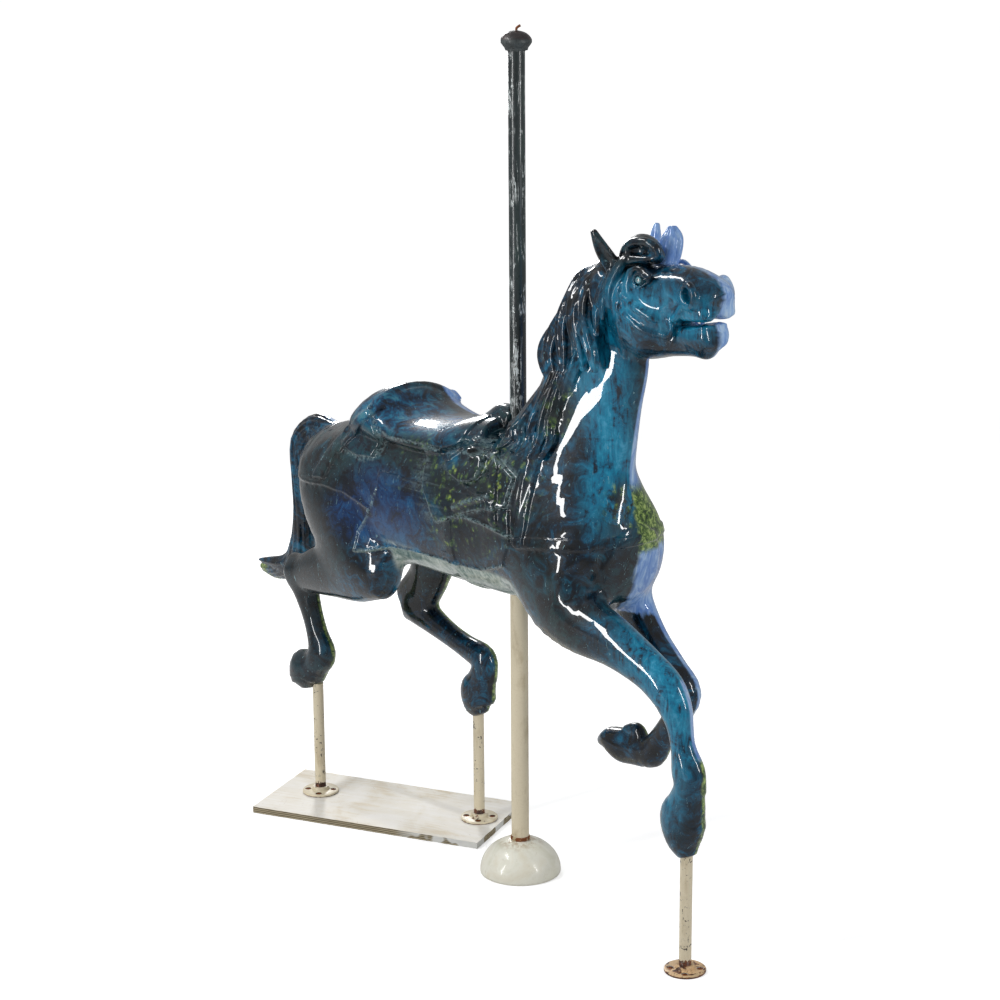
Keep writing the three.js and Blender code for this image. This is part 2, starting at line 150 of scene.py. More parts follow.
SEAT = [
    [-494, 0, 1000, 98, 44], [-452, 0, 1015, 119, 51], [-404, 0, 1026, 130, 66],
    [-350, 0, 1014, 132, 47], [-270, 0, 1004, 130, 36], [-180, 0, 1006, 126, 40],
    [-100, 0, 1024, 118, 48], [-20, 0, 1043, 96, 48],
]
POMMEL = [[-84, 0, 1062, 26, 25], [-48, 0, 1083, 30, 27], [-8, 0, 1082, 32, 26]]

LOCKS = [
    [[318, -24, 1455], [291, -42, 1434], [283, -56, 1397], [288, -62, 1359], [314, -74, 1325],
     [330, -74, 1285], [334, -72, 1252]],
    [[300, -34, 1458], [261, -36, 1424], [259, -58, 1391], [266, -68, 1353], [275, -69, 1318],
     [284, -66, 1285], [292, -68, 1248]],
    [[259, -14, 1454], [237, -26, 1431], [236, -53, 1387], [227, -63, 1347], [228, -66, 1311],
     [234, -69, 1280], [240, -75, 1249], [255, -76, 1218]],
    [[241, -28, 1422], [217, -52, 1356], [191, -56, 1313], [184, -62, 1276], [193, -68, 1250],
     [210, -72, 1216]],
    [[200, -20, 1366], [158, -38, 1298], [152, -50, 1265], [170, -64, 1240], [198, -76, 1208]],
]
TRESSES = [
    [[279, -72, 1287], [270, -76, 1251], [242, -68, 1202], [230, -70, 1165], [222, -75, 1128],
     [217, -82, 1086]],
    [[244, -70, 1261], [243, -76, 1234], [224, -72, 1197], [222, -84, 1160], [213, -88, 1124],
     [221, -100, 1088], [206, -114, 1046]],
    [[227, -72, 1255], [214, -70, 1220], [208, -82, 1185], [196, -88, 1146], [194, -97, 1111],
     [191, -103, 1083], [172, -118, 1044]],
    [[203, -68, 1239], [200, -76, 1216], [180, -80, 1172], [160, -84, 1132], [158, -97, 1101],
     [168, -106, 1079], [126, -114, 1044]],
    [[190, -68, 1226], [177, -68, 1200], [150, -72, 1161], [120, -76, 1123], [120, -92, 1093],
     [133, -102, 1072], [108, -116, 1048]],
    [[175, -62, 1200], [133, -62, 1150], [96, -62, 1112], [78, -74, 1085], [88, -90, 1064],
     [56, -108, 1042]],
    [[150, -52, 1190], [108, -52, 1138], [74, -52, 1100], [50, -62, 1078], [58, -80, 1056]],
]
TEMPLE_LOCK = [[370, -46, 1458], [349, -46, 1430], [358, -54, 1404], [346, -52, 1374]]

TAIL_SPUR = [[-880, 4, 566, 26, 24], [-930, -4, 548, 20, 19], [-985, -10, 540, 12, 12], [-1024, -14, 536, 4, 5]]

# ---- The head's forms, for the near side: mirrored for the other ----------------------------
JOWL = {"at": (430, -38, 1366), "radii": (60, 29, 58)}
EYE = {"at": (457, -57, 1461), "radius": 12, "socket": (19, 10, 14)}
UPPER_LID = [[441, -62, 1458], [446, -66, 1468], [457, -67, 1474], [470, -66, 1471], [484, -61, 1462]]
LOWER_LID = [[442, -63, 1455], [449, -66, 1449], [461, -67, 1447], [473, -65, 1453], [482, -61, 1460]]
BROW = [[424, -58, 1468], [438, -62, 1481], [460, -62, 1485], [488, -57, 1473]]
TEMPLE = [[430, -56, 1474], [421, -60, 1444], [436, -63, 1420], [462, -62, 1402], [492, -54, 1390]]
NOSTRIL = {"at": (590, -51, 1445), "radii": (19, 18, 15), "rim": 23, "tube": 8}
LIP_FOLD = [[564, -46, 1446], [570, -47, 1424], [556, -46, 1402], [542, -45, 1386], [552, -42, 1377]]
UPPER_LIP = [[560, -26, 1398, 16, 15], [602, -28, 1404, 20, 22], [624, -25, 1410, 18, 23]]
LOWER_LIP = [[548, -20, 1358, 18, 18], [590, -20, 1358, 20, 28], [614, -18, 1364, 19, 27]]
MOUTH = [[532, 1378], [560, 1380], [600, 1387], [640, 1395], [700, 1408]]
BIT = {"at": (516, -44, 1369), "radius": 19, "tube": 5}
CHEEK_STRAP = [[400, 1432], [420, 1420], [447, 1406], [475, 1398], [504, 1384]]
JAW_STRAP = [[402, 1400], [423, 1386], [455, 1364], [485, 1353], [516, 1350]]
THROAT_STRAP = [[404, 1448], [403, 1416], [399, 1373], [397, 1340], [384, 1291]]
EAR = [[380, 42, 1455, 14, 18], [364, 54, 1482, 15, 20], [349, 68, 1514, 12, 18], [337, 80, 1550, 6, 8]]
EAR_HOLLOW = [[384, 56, 1462, 8, 12], [370, 68, 1488, 10, 15], [356, 80, 1517, 8, 12], [344, 88, 1541, 4, 5]]
EAR_LEAN = {-1: 0, 1: 20}

# ---- The forelock --------------------------------------------------------------------------
NEAR_WAVE = [
    [372, -6, 1466, 24, 18], [390, -14, 1498, 30, 24], [418, -20, 1520, 30, 27],
    [450, -22, 1517, 26, 22], [472, -20, 1502, 16, 14],
]
NEAR_WAVE_HOLLOW = {"at": (436, -60, 1514), "radii": (37, 32, 18)}
NEAR_WAVE_RIM = [
    [376, -34, 1478], [383, -38, 1503], [400, -42, 1523], [424, -43, 1534],
    [452, -41, 1537], [472, -36, 1531], [480, -32, 1518], [474, -32, 1507], [456, -36, 1500],
    [424, -40, 1498], [400, -42, 1492],
]
FAR_WAVE = [[444, 22, 1476, 22, 26], [450, 30, 1508, 24, 28], [452, 36, 1538, 22, 25], [450, 38, 1557, 12, 12]]
SIDE_LOCKS = [
    [[404, -40, 1508], [392, -54, 1484], [378, -62, 1456], [370, -66, 1424], [372, -66, 1392]],
    [[392, -34, 1506], [378, -48, 1478], [362, -60, 1446], [352, -66, 1408], [352, -68, 1366]],
    [[366, -20, 1486], [350, -44, 1456], [340, -60, 1420], [334, -68, 1376], [338, -70, 1330]],
]

# ---- Tack: outlines and lines in the side view, [x, z], the same on both sides ----------------
SEAT_PANEL = [
    [-402, 1140], [-395, 1068], [-376, 1051], [-353, 1030], [-329, 1017], [-303, 1008], [-263, 1008],
    [-222, 1010], [-160, 1013], [-121, 1010], [-88, 1016], [-60, 1040], [-50, 1140],
]
SEAT_SLIT = [[-118, 1006], [-80, 1020], [-44, 1036]]
ROLL = [
    [-482, 966], [-456, 1010], [-409, 1048], [-386, 1066], [-360, 1036], [-345, 1006],
    [-346, 976], [-356, 950], [-410, 944], [-466, 950],
]
SKIRT = [
    [-96, 1016], [-60, 1034], [-28, 1052], [4, 1042], [30, 1022], [44, 1000], [38, 980],
    [16, 966], [-24, 960], [-70, 970], [-100, 992],
]
FLAP = [
    [-176, 1004], [-166, 960], [-155, 936], [-122, 896], [-92, 854], [-62, 866], [-21, 884],
    [36, 906], [86, 922], [140, 934], [150, 1000], [60, 1030],
]
FLAP_FOLD = [[-23, 905], [21, 926], [60, 941], [97, 952]]
FLAP_TOP = [[-11, 957], [30, 948], [64, 949], [94, 956]]
BLANKET = [
    [-322, 930], [-318, 887], [-330, 858], [-349, 826], [-384, 774], [-389, 727], [-345, 735],
    [-292, 750], [-211, 759], [-125, 763], [-44, 763], [40, 768], [130, 800], [160, 860], [150, 930],
]
BLANKET_EDGE = BLANKET[1:13]
BLANKET_RIM = [
    [-410, 1120], [-462, 1044], [-528, 960], [-578, 866], [-522, 872], [-500, 915],
    [-452, 985], [-366, 1060],
]
BREECHING = [[-780, 842], [-700, 846], [-600, 852], [-520, 862], [-438, 857], [-391, 844], [-348, 832]]
POMMEL_STRAP = [[2, 1064], [45, 1030], [82, 1005], [100, 960], [108, 900]]
SHOULDER_STRAP = [[184, 1085], [186, 960], [188, 872]]
BREAST_STRAP = [[187, 866], [262, 877], [330, 884], [420, 889]]
GIRTH_TIE = [[-30, 880], [9, 886], [77, 883], [168, 872]]
GIRTH = {"x": -54, "half": 13, "top": 872}
ROSETTE = {"at": (187, -154, 857), "radius": 17, "tube": 5}

BORED_BY = ("lower_pole", "upper_pole")
BORE_GAP = 0.8

# ---- A field of signed distances: below zero is inside -----------------------------------


def catmull(rows, places):
    last = len(rows) - 1
    first = np.minimum(places.astype(int), last - 1)
    u = (places - first)[:, None]
    a, b, c, d = (rows[np.clip(first + k, 0, last)] for k in (-1, 0, 1, 2))
    return b + 0.5 * u * (c - a + u * (2 * a - 5 * b + 4 * c - d + u * (3 * (b - c) + d - a)))


def unit(vectors):
    return vectors / np.linalg.norm(vectors, axis=1, keepdims=True)


def nearest_on(path, points):
    """Where along a path each point lies nearest, counted in its pieces."""
    best = np.full(len(points), np.inf, np.float32)
    where = np.zeros(len(points), np.float32)
    edges = np.diff(path, axis=0)
    lengths = (edges ** 2).sum(1)
    squares = (points ** 2).sum(1)
    for k, (start, edge) in enumerate(zip(path[:-1], edges)):
        ahead = points @ edge - start @ edge
        share = np.clip(ahead / lengths[k], 0, 1)
        gap = squares - 2 * (points @ start) + start @ start
        gap += share * (share * lengths[k] - 2 * ahead)
        nearer = gap < best
        np.copyto(best, gap, where=nearer)
        np.copyto(where, k + share, where=nearer)
    return where


def sweep(points, stations, egg=0.0, box=2.0, dome=0.5, steps=4, strands=0, groove=0.0, twist=0.0):
    """Distance to a body swept through its stations. `egg` narrows it towards +depth, `box`
    squares it, and `strands` grooves run along it, `groove` deep, turning by `twist`."""
    rows = np.array(stations, np.float32)
    places = np.linspace(0, len(rows) - 1, (len(rows) - 1) * steps + 1)
    path = catmull(rows, places).astype(np.float32)
    middle = path[:, :3].mean(0)
    points = points - middle
    path[:, :3] -= middle
    tangents = unit(np.gradient(path[:, :3], axis=0)).astype(np.float32)
    where = nearest_on(path[:, :3], points)
    k = np.minimum(where.astype(int), len(path) - 2)
    share = (where - k)[:, None]
    row = path[k] * (1 - share) + path[k + 1] * share
    ax, ay, az = (tangents[k] * (1 - share) + tangents[k + 1] * share).T
    qx, qy, qz = (points - row[:, :3]).T
    level = np.sqrt(ax * ax + az * az) + 1e-6
    length = np.sqrt(level * level + ay * ay)
    ahead = (qx * ax + qy * ay + qz * az) / length
    v = (qz * ax - qx * az) / level
    u = (qy - ahead * ay / length) * length / level
    past_end = (where <= 0) | (where >= len(path) - 1)
    w = np.where(past_end, ahead, 0)
    wide, deep = row[:, 3], row[:, 4]
    reach = dome * np.minimum(wide, deep)
    if egg:
        wide = wide * (1 - egg * v / (np.hypot(u, v) + 1e-6))
    p = box
    a, b, c = np.abs(u) / wide, np.abs(v) / deep, np.abs(w) / reach
    size = (a ** p + b ** p + c ** p) ** (1 / p) + 1e-4
    slope = np.sqrt((a ** (p - 1) / wide) ** 2 + (b ** (p - 1) / deep) ** 2 + (c ** (p - 1) / reach) ** 2)
    distance = (size - 1) * size ** (p - 1) / (slope + 1e-6)
    spans = np.concatenate(([0], np.cumsum(np.linalg.norm(np.diff(path[:, :3], axis=0), axis=1))))
    run = np.interp(where, np.arange(len(path)), spans)
    distance = np.maximum(distance, -np.minimum(run, spans[-1] - run) - reach)
    if strands:
        angle = np.arctan2(v / deep, u / wide) + twist * where / steps
        distance = distance + groove * (1 - np.abs(np.cos(strands * angle / 2)))
    return distance


def smooth(value, start, end):
    share = np.clip((value - start) / (end - start), 0, 1)
    return share * share * (3 - 2 * share)


def soft_min(a, b, blend):
    if not blend:
        return np.minimum(a, b)
    h = np.clip(0.5 + 0.5 * (a - b) / blend, 0, 1)
    return a + (b - a) * h - blend * h * (1 - h)


def soft_max(a, b, blend):
    return -soft_min(-a, -b, blend)


def off_line(x, z, line):
    """Distance in the side view to an open line."""
    corners = np.array(line, np.float32)
    best = np.full(len(x), np.inf, np.float32)
    for start, edge in zip(corners[:-1], np.diff(corners, axis=0)):
        share = np.clip(((x - start[0]) * edge[0] + (z - start[1]) * edge[1]) / (edge @ edge), 0, 1)
        gap = (x - start[0] - share * edge[0]) ** 2 + (z - start[1] - share * edge[1]) ** 2
        best = np.minimum(best, gap)
    return np.sqrt(best)


def off_outline(x, z, outline):
    """Distance in the side view to a closed outline: below zero inside."""
    corners = outline + outline[:1]
    inside = np.zeros(len(x), bool)
    for (ax, az), (bx, bz) in zip(corners[:-1], corners[1:]):
        if az != bz:
            inside ^= ((az <= z) != (bz <= z)) & (x < ax + (z - az) * (bx - ax) / (bz - az))
    return np.where(inside, -1, 1) * off_line(x, z, corners)


class Field:
    """Distances at a cloud of points, built up form by form."""

    def __init__(self, points):
        self.points = points
        self.value = np.full(len(points), FAR, np.float32)

    def near(self, low, high):
        keep = np.ones(len(self.points), bool)
        for axis in range(3):
            keep &= (self.points[:, axis] > low[axis]) & (self.points[:, axis] < high[axis])
        return np.nonzero(keep)[0]

    def add(self, stations, blend=0, reach=30, **shape):
        rows = np.array(stations, np.float32)
        pad = rows[:, 3:].max(1)[:, None] + reach + blend
        spots = self.near((rows[:, :3] - pad).min(0), (rows[:, :3] + pad).max(0))
        if len(spots):
            form = sweep(self.points[spots], stations, **shape)
            self.value[spots] = soft_min(self.value[spots], form, blend)


    def cut(self, stations, blend=0, reach=30, **shape):
        rows = np.array(stations, np.float32)
        pad = rows[:, 3:].max(1)[:, None] + reach
        spots = self.near((rows[:, :3] - pad).min(0), (rows[:, :3] + pad).max(0))
        if len(spots):
            form = sweep(self.points[spots], stations, **shape)
            self.value[spots] = soft_max(self.value[spots], -form, blend)

    def egg(self, at, radii, reach=30):
        """An ellipsoid's distance, and the points round it."""
        at, radii = np.array(at, np.float32), np.array(radii, np.float32)
        pad = radii.max() + reach
        spots = self.near(at - pad, at + pad)
        share = (self.points[spots] - at) / radii
        size = np.linalg.norm(share, axis=1) + 1e-4
        return spots, (size - 1) * size / np.linalg.norm(share / radii, axis=1)

    def swell(self, at, radii, blend=10):
        spots, form = self.egg(at, radii)
        self.value[spots] = soft_min(self.value[spots], form, blend)

    def scoop(self, at, radii, blend=4):
        spots, form = self.egg(at, radii)
        self.value[spots] = soft_max(self.value[spots], -form, blend)

    def ring(self, at, radius, tube, facing=(0, 1, 0), blend=3):
        at, facing = np.array(at, np.float32), unit(np.array([facing], np.float32))[0]
        pad = radius + tube + 20
        spots = self.near(at - pad, at + pad)
        off = self.points[spots] - at
        ahead = off @ facing
        round_it = np.linalg.norm(off - ahead[:, None] * facing, axis=1)
        form = np.hypot(round_it - radius, ahead) - tube
        self.value[spots] = soft_min(self.value[spots], form, blend)

    def skin(self, line, pad=12):
        """The points near the surface in the box that a side view's line fills."""
        rows = np.array(line)
        low, high = rows.min(0) - pad, rows.max(0) + pad
        spots = self.near((low[0], -FAR, low[1]), (high[0], FAR, high[1]))
        spots = spots[np.abs(self.value[spots]) < 60]
        return spots, self.points[spots, 0], self.points[spots, 2]

    def lay(self, spots, region, thickness, soft):
        if len(spots):
            base = self.value[spots]
            raised = soft_max(base - thickness, region, soft)
            self.value[spots] = soft_min(base, raised, 1)

    def pad(self, outline, thickness, soft=3):
        """Raises what lies inside an outline."""
        spots, x, z = self.skin(outline)
        self.lay(spots, off_outline(x, z, outline), thickness, soft)

    def strap(self, line, half_width, thickness, soft=2):
        spots, x, z = self.skin(line, half_width + 12)
        self.lay(spots, off_line(x, z, line) - half_width, thickness, soft)

    def bead(self, line, radius, blend=1):
        """A half-round cord that lies on the surface along a line."""
        spots, x, z = self.skin(line, radius + 12)
        if len(spots):
            form = np.hypot(off_line(x, z, line), self.value[spots]) - radius
            self.value[spots] = soft_min(self.value[spots], form, blend)

    def groove(self, line, radius, blend=1):
        spots, x, z = self.skin(line, radius + 12)
        if len(spots):
            form = np.hypot(off_line(x, z, line), self.value[spots]) - radius
            self.value[spots] = soft_max(self.value[spots], -form, blend)

    def bore(self, x, y, radius, low, high):
        pad = radius + 12
        spots = self.near((x - pad, y - pad, low - pad), (x + pad, y + pad, high + pad))
        if len(spots):
            off = np.abs(self.points[spots] - (x, y, (low + high) / 2))
            form = np.maximum(np.hypot(off[:, 0], off[:, 1]) - radius, off[:, 2] - (high - low) / 2)
            self.value[spots] = np.maximum(self.value[spots], -form)


def mirrored(stations):
    return [[x, -y, *rest] for x, y, *rest in stations]


def cord(path, radius):
    """A path's points as round stations."""
    return [[x, y, z, radius, radius] for x, y, z in path]


def tapered(path, radius, flat=1.0):
    """A path's points as stations that swell and end thin."""
    count = len(path) - 1
    rows = []
    for k, (x, y, z) in enumerate(path):
        size = radius * (0.2 + 0.8 * math.sin(math.pi * (k + 0.6) / (count + 0.9)) ** 0.7)
        rows.append([x, y, z, size * flat, size])
    return rows


def sided(at, side):
    """A near-side point on the side asked for: -1 near, 1 far."""
    return (at[0], -side * at[1], at[2])


def on_side(path, side):
    return [[x, -side * y, *rest] for x, y, *rest in path]


def carve_body(field):
    field.add(TORSO, box=2.3, dome=0.25)
    field.add(CHEST, blend=8, box=2.2, egg=0.16, dome=0.25)
    field.add(NECK, blend=70, egg=-0.2)
    for stations in (THIGH_RIGHT, THIGH_LEFT, FORE_RIGHT, FORE_LEFT):
        field.add(stations, blend=40)
    field.add(GASKIN_RIGHT, blend=24)
    for stations in (CANNON_RIGHT, CANNON_LEFT):
        field.add(stations, blend=14)
    for stations in (FORE_RIGHT_HOOF, FORE_LEFT_HOOF, HIND_RIGHT_HOOF, HIND_LEFT_HOOF):
        field.add(stations, blend=6, dome=0.3)
    for side in (-1, 1):
        field.swell(sided(BREAST_FILL["at"], side), BREAST_FILL["radii"], blend=14)
    field.add(FORE_LEFT_TUFT, blend=6)
    field.add(TAIL, blend=16, strands=14, groove=4, twist=0.3)
    field.add(TAIL_SPUR, blend=6, strands=6, groove=3)


def carve_tack(field):
    field.add(SEAT, blend=14, dome=0.3)
    field.pad(BLANKET_RIM, 7, soft=6)
    field.pad(BLANKET, 5)
    field.bead(BLANKET_EDGE, 3.4)
    field.strap(BREECHING, 5, 3)
    field.pad(ROLL, 9, soft=14)
    field.pad(SEAT_PANEL, 5, soft=6)
    field.pad(FLAP, 8)
    field.bead(FLAP_FOLD, 8, blend=4)
    field.bead(FLAP_TOP, 4, blend=2)
    field.pad(SKIRT, 14, soft=12)
    field.groove(SEAT_SLIT, 6, blend=3)
    field.strap(SHOULDER_STRAP, 14, 5)
    field.strap(BREAST_STRAP, 12, 4)
    field.strap(POMMEL_STRAP, 13, 5)
    field.bead(GIRTH_TIE, 3)
    spots = field.near((GIRTH["x"] - 40, -FAR, -FAR), (GIRTH["x"] + 40, FAR, GIRTH["top"]))
    spots = spots[np.abs(field.value[spots]) < 60]
    band = np.abs(field.points[spots, 0] - GIRTH["x"]) - GIRTH["half"]
    field.lay(spots, band, 3.5, 2)
    for side in (-1, 1):
        at = sided(ROSETTE["at"], side)
        field.swell(at, (11, 9, 11), blend=3)
        field.ring(at, ROSETTE["radius"], ROSETTE["tube"])
    field.add(POMMEL, blend=10)


def carve_face(field):
    field.add(SKULL, blend=24, egg=-0.1, box=2.25, dome=0.3)
    field.add(JAW, blend=14)
    for side in (-1, 1):
        field.swell(sided(JOWL["at"], side), JOWL["radii"], blend=14)
        field.add(on_side(cord(TEMPLE, 10), side), blend=14)
        field.add(on_side(UPPER_LIP, side), blend=12)
        field.add(on_side(LOWER_LIP, side), blend=12)
        field.scoop(sided(EYE["at"], side), EYE["socket"], blend=5)
        field.swell(sided(EYE["at"], side), [EYE["radius"] - 1.5] * 3, blend=1)
        field.add(on_side(cord(UPPER_LID, 3), side), blend=3)
        field.add(on_side(cord(LOWER_LID, 2.6), side), blend=3)
        field.add(on_side(cord(BROW, 5), side), blend=9)
        field.ring(sided(NOSTRIL["at"], side), NOSTRIL["rim"], NOSTRIL["tube"], (0.3, 1, 0.1), blend=9)
        field.scoop(sided(NOSTRIL["at"], side), NOSTRIL["radii"], blend=3)
        field.add(on_side(cord(LIP_FOLD, 8), side), blend=6)
    field.groove(MOUTH, 7, blend=3)
    field.strap(CHEEK_STRAP, 6, 4)
    field.strap(JAW_STRAP, 6, 4)
    field.strap(THROAT_STRAP, 6, 4)
    for side in (-1, 1):
        field.ring(sided(BIT["at"], side), BIT["radius"], BIT["tube"], blend=2)


def carve_hair(field):
    field.add(CREST, blend=16)
    for side in (-1, 1):
        for path in LOCKS:
            field.add(on_side(tapered(path, 23, 0.72), side), blend=3, strands=5, groove=5)
        for path in TRESSES:
            field.add(on_side(tapered(path, 17, 0.85), side), blend=3, strands=4, groove=5)
        field.add(on_side(tapered(TEMPLE_LOCK, 14, 0.8), side), blend=4, strands=4, groove=3)
    for side in (-1, 1):
        lean = EAR_LEAN[side]
        leans = [0, 0.4 * lean, 0.8 * lean, lean]
        ear = [[x + more, side * y, *rest] for (x, y, *rest), more in zip(EAR, leans)]
        hollow = [[x + more, side * y, *rest] for (x, y, *rest), more in zip(EAR_HOLLOW, leans)]
        field.add(ear, blend=8)
        field.cut(hollow, blend=2)
    field.add(FAR_WAVE, blend=8, strands=5, groove=6)
    field.add(NEAR_WAVE, blend=8)
    field.scoop(NEAR_WAVE_HOLLOW["at"], NEAR_WAVE_HOLLOW["radii"], blend=4)
    field.add(cord(NEAR_WAVE_RIM, 8.5), blend=5)
    for path in SIDE_LOCKS:
        field.add(tapered(path, 13, flat=0.8), blend=4, strands=5, groove=2.5)


def carve(points):
    """The horse's distance at each point."""
    field = Field(points)
    carve_body(field)
    carve_tack(field)
    carve_face(field)
    carve_hair(field)
    for low, high in (np.array(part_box(node)) / MM for node in BORED_BY):
        x, y, _ = (low + high) / 2
        field.bore(x, y, (high[0] - low[0]) / 2 + BORE_GAP, low[2], high[2] + BORE_GAP)
    return field.value


# ---- The net: a quad mesh through the field's zero ---------------------------------------
CORNERS = list(itertools.product((0, 1), repeat=3))


def grid_points(flat, shape, low, step):
    places = np.stack(np.unravel_index(flat, shape), 1)
    return (low + step * places).astype(np.float32)


def halved(spots, shape):
    """The points of a grid twice as fine that lie round the coarse points kept."""
    places = np.stack(np.unravel_index(spots, shape), 1) * 2
    fine_shape = tuple(2 * n - 1 for n in shape)
    marked = np.zeros(fine_shape, bool)
    for offset in itertools.product((-1, 0, 1), repeat=3):
        at = np.clip(places + offset, 0, np.array(fine_shape) - 1)
        marked[at[:, 0], at[:, 1], at[:, 2]] = True
    return np.nonzero(marked.ravel())[0], fine_shape


def net(low, high, step, halvings=3):
    """The surface as (points, quads): only what lies near it is evaluated on the finer grids."""
    spacing = step * 2 ** halvings
    shape = tuple(int(n) + 2 for n in (high - low) / spacing)
    spots = np.arange(np.prod(shape))
    value = carve(grid_points(spots, shape, low, spacing))
    for _ in range(halvings):
        spots, shape = halved(spots[np.abs(value) < 1.2 * spacing + 2], shape)
        spacing /= 2
        value = carve(grid_points(spots, shape, low, spacing))
    field = np.full(np.prod(shape), FAR, np.float32)
    field[spots] = value
    return nets_of(field, shape, low, spacing, spots)


def nets_of(field, shape, low, step, spots):
    strides = np.array([shape[1] * shape[2], shape[2], 1])
    places = np.stack(np.unravel_index(spots, shape), 1)
    spots = spots[(places < np.array(shape) - 1).all(1)]
    values = np.stack([field[spots + np.dot(corner, strides)] for corner in CORNERS])
    crossed = (values.max(0) < FAR) & (values.min(0) < 0) & (values.max(0) >= 0)
    cells, values = spots[crossed], values[:, crossed]
    total = np.zeros((len(cells), 3))
    count = np.zeros(len(cells))
    for first, second in itertools.combinations(range(8), 2):
        a, b = np.array(CORNERS[first]), np.array(CORNERS[second])
        if np.abs(a - b).sum() != 1:
            continue
        va, vb = values[first], values[second]
        cut = (va < 0) != (vb < 0)
        share = va[cut] / (va[cut] - vb[cut])
        total[cut] += a + share[:, None] * (b - a)
        count[cut] += 1
    corner = np.stack(np.unravel_index(cells, shape), 1)
    points = low + step * (corner + total / count[:, None])
    quads = []
    for axis in range(3):
        one, two = strides[(axis + 1) % 3], strides[(axis + 2) % 3]
        far = values[CORNERS.index(tuple(int(k == axis) for k in range(3)))]
        near = values[0]
        for rising in (True, False):
            cut = ((near < 0) & (far >= 0)) if rising else ((near >= 0) & (far < 0))
            ring = [cells[cut], cells[cut] - one, cells[cut] - one - two, cells[cut] - two]
            ids = np.stack([np.searchsorted(cells, r) for r in ring], 1)
            real = np.ones(len(ids), bool)
            for column, r in zip(ids.T, ring):
                real &= (column < len(cells)) & (cells[np.minimum(column, len(cells) - 1)] == r)
            ids = ids[real]
            quads.append(ids if rising else ids[:, ::-1])
    return points, np.concatenate(quads)


def mesh_object(name, points, faces):
    mesh = bpy.data.meshes.new(name)
    mesh.from_pydata(points.tolist(), [], faces.tolist())
    mesh.shade_smooth()
    piece = bpy.data.objects.new(name, mesh)
    bpy.context.scene.collection.objects.link(piece)
    return piece


def settle(piece):
    """Turns a piece's modifiers into its plain mesh."""
    bpy.context.view_layer.update()
    shaped = piece.evaluated_get(bpy.context.evaluated_depsgraph_get())
    mesh = bpy.data.meshes.new_from_object(shaped)
    piece.modifiers.clear()
    piece.data = mesh
    return piece


def make_horse():
    low, high = (np.array(corner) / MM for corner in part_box("horse"))
    pad = 3 * GRID
    points, quads = net(low - pad, high + pad, GRID)
    points = np.clip(points, np.array(cad_box[0]) / MM, np.array(cad_box[1]) / MM)
    piece = mesh_object("horse_casting", points * MM, quads)
    thin = piece.modifiers.new("thin", "DECIMATE")
    thin.ratio = min(1.0, HORSE_TRIANGLES / (2 * len(quads)))
    settle(piece)
    piece.data.shade_smooth()
    return piece


# ---- Turned, drilled and layered pieces -----------------------------------------------------
CAP_PROFILE = [
    [0.72, 0], [0.76, 0.12], [0.9, 0.27], [1, 0.42], [0.985, 0.56], [0.86, 0.72], [0.62, 0.88],
    [0.3, 0.97], [0, 1],
]
CAP_LEAN = 0.06
THREAD = {"pitch": 1.8, "depth": 0.6, "turns": 6}
FLANGE = {"hub": 21, "hub_height": 15, "thickness": 6, "bevel": 1.5, "fillet": 3}
HOLES = {"count": 4, "circle": 32, "radius": 3.6, "sink": 7.5, "depth": 4.2}
BOARD = {"length": 609, "width": 279, "turn": 26.7, "plies": 7, "rough": 1.1, "seed": 5}
EYE_FACING = (0.28, -1, 0.06)


def turned(name, profile, middle=(0, 0), sides=64, closed=False):
    """A turned form from a profile of [radius, height], run from bottom to top round the outside."""
    points, rings = [], []
    for radius, height in profile:
        count = sides if radius > 1e-6 else 1
        rings.append([len(points) + k for k in range(count)])
        for k in range(count):
            angle = 2 * math.pi * k / sides
            points.append((middle[0] + radius * math.cos(angle), middle[1] + radius * math.sin(angle), height))
    faces = []
    pairs = list(zip(rings[:-1], rings[1:])) + ([(rings[-1], rings[0])] if closed else [])
    for lower, upper in pairs:
        for k in range(sides):
            after = (k + 1) % sides
            corners = [lower[k % len(lower)], lower[after % len(lower)], upper[after % len(upper)], upper[k % len(upper)]]
            face = list(dict.fromkeys(corners))
            if len(face) > 2:
                faces.append(face)
    mesh = bpy.data.meshes.new(name)
    mesh.from_pydata([tuple(c * MM for c in point) for point in points], [], faces)
    mesh.shade_smooth()
    mesh.set_sharp_from_angle(angle=math.radians(35))
    piece = bpy.data.objects.new(name, mesh)
    bpy.context.scene.collection.objects.link(piece)
    return piece


def ridden(piece, slot, *nodes):
    if nodes:
        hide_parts(*nodes)
    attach(piece, "root")
    return piece


def node_box(node):
    low, high = (np.array(corner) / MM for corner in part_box(node))
    return low, high, (low + high) / 2


def reshape(piece, change):
    """Moves a piece's points by a rule on their places in millimetres."""
    mesh = piece.data
    flat = np.empty(len(mesh.vertices) * 3, np.float32)
    mesh.vertices.foreach_get("co", flat)
    points = flat.reshape(-1, 3) / MM
    mesh.vertices.foreach_set("co", (change(points) * MM).astype(np.float32).ravel())
    mesh.update()


def dented(points, middle, amount, waves):
    """Draws a turned form in a little, unevenly round and along it."""
    off = points[:, :2] - middle[:2]
    angle = np.arctan2(off[:, 1], off[:, 0])
    ripple = sum(np.sin(a * angle + b * points[:, 2] + c) for a, b, c in waves) / len(waves)
    points = points.copy()
    points[:, :2] = middle[:2] + off * (1 - amount * (0.5 - 0.5 * ripple))[:, None]
    return points


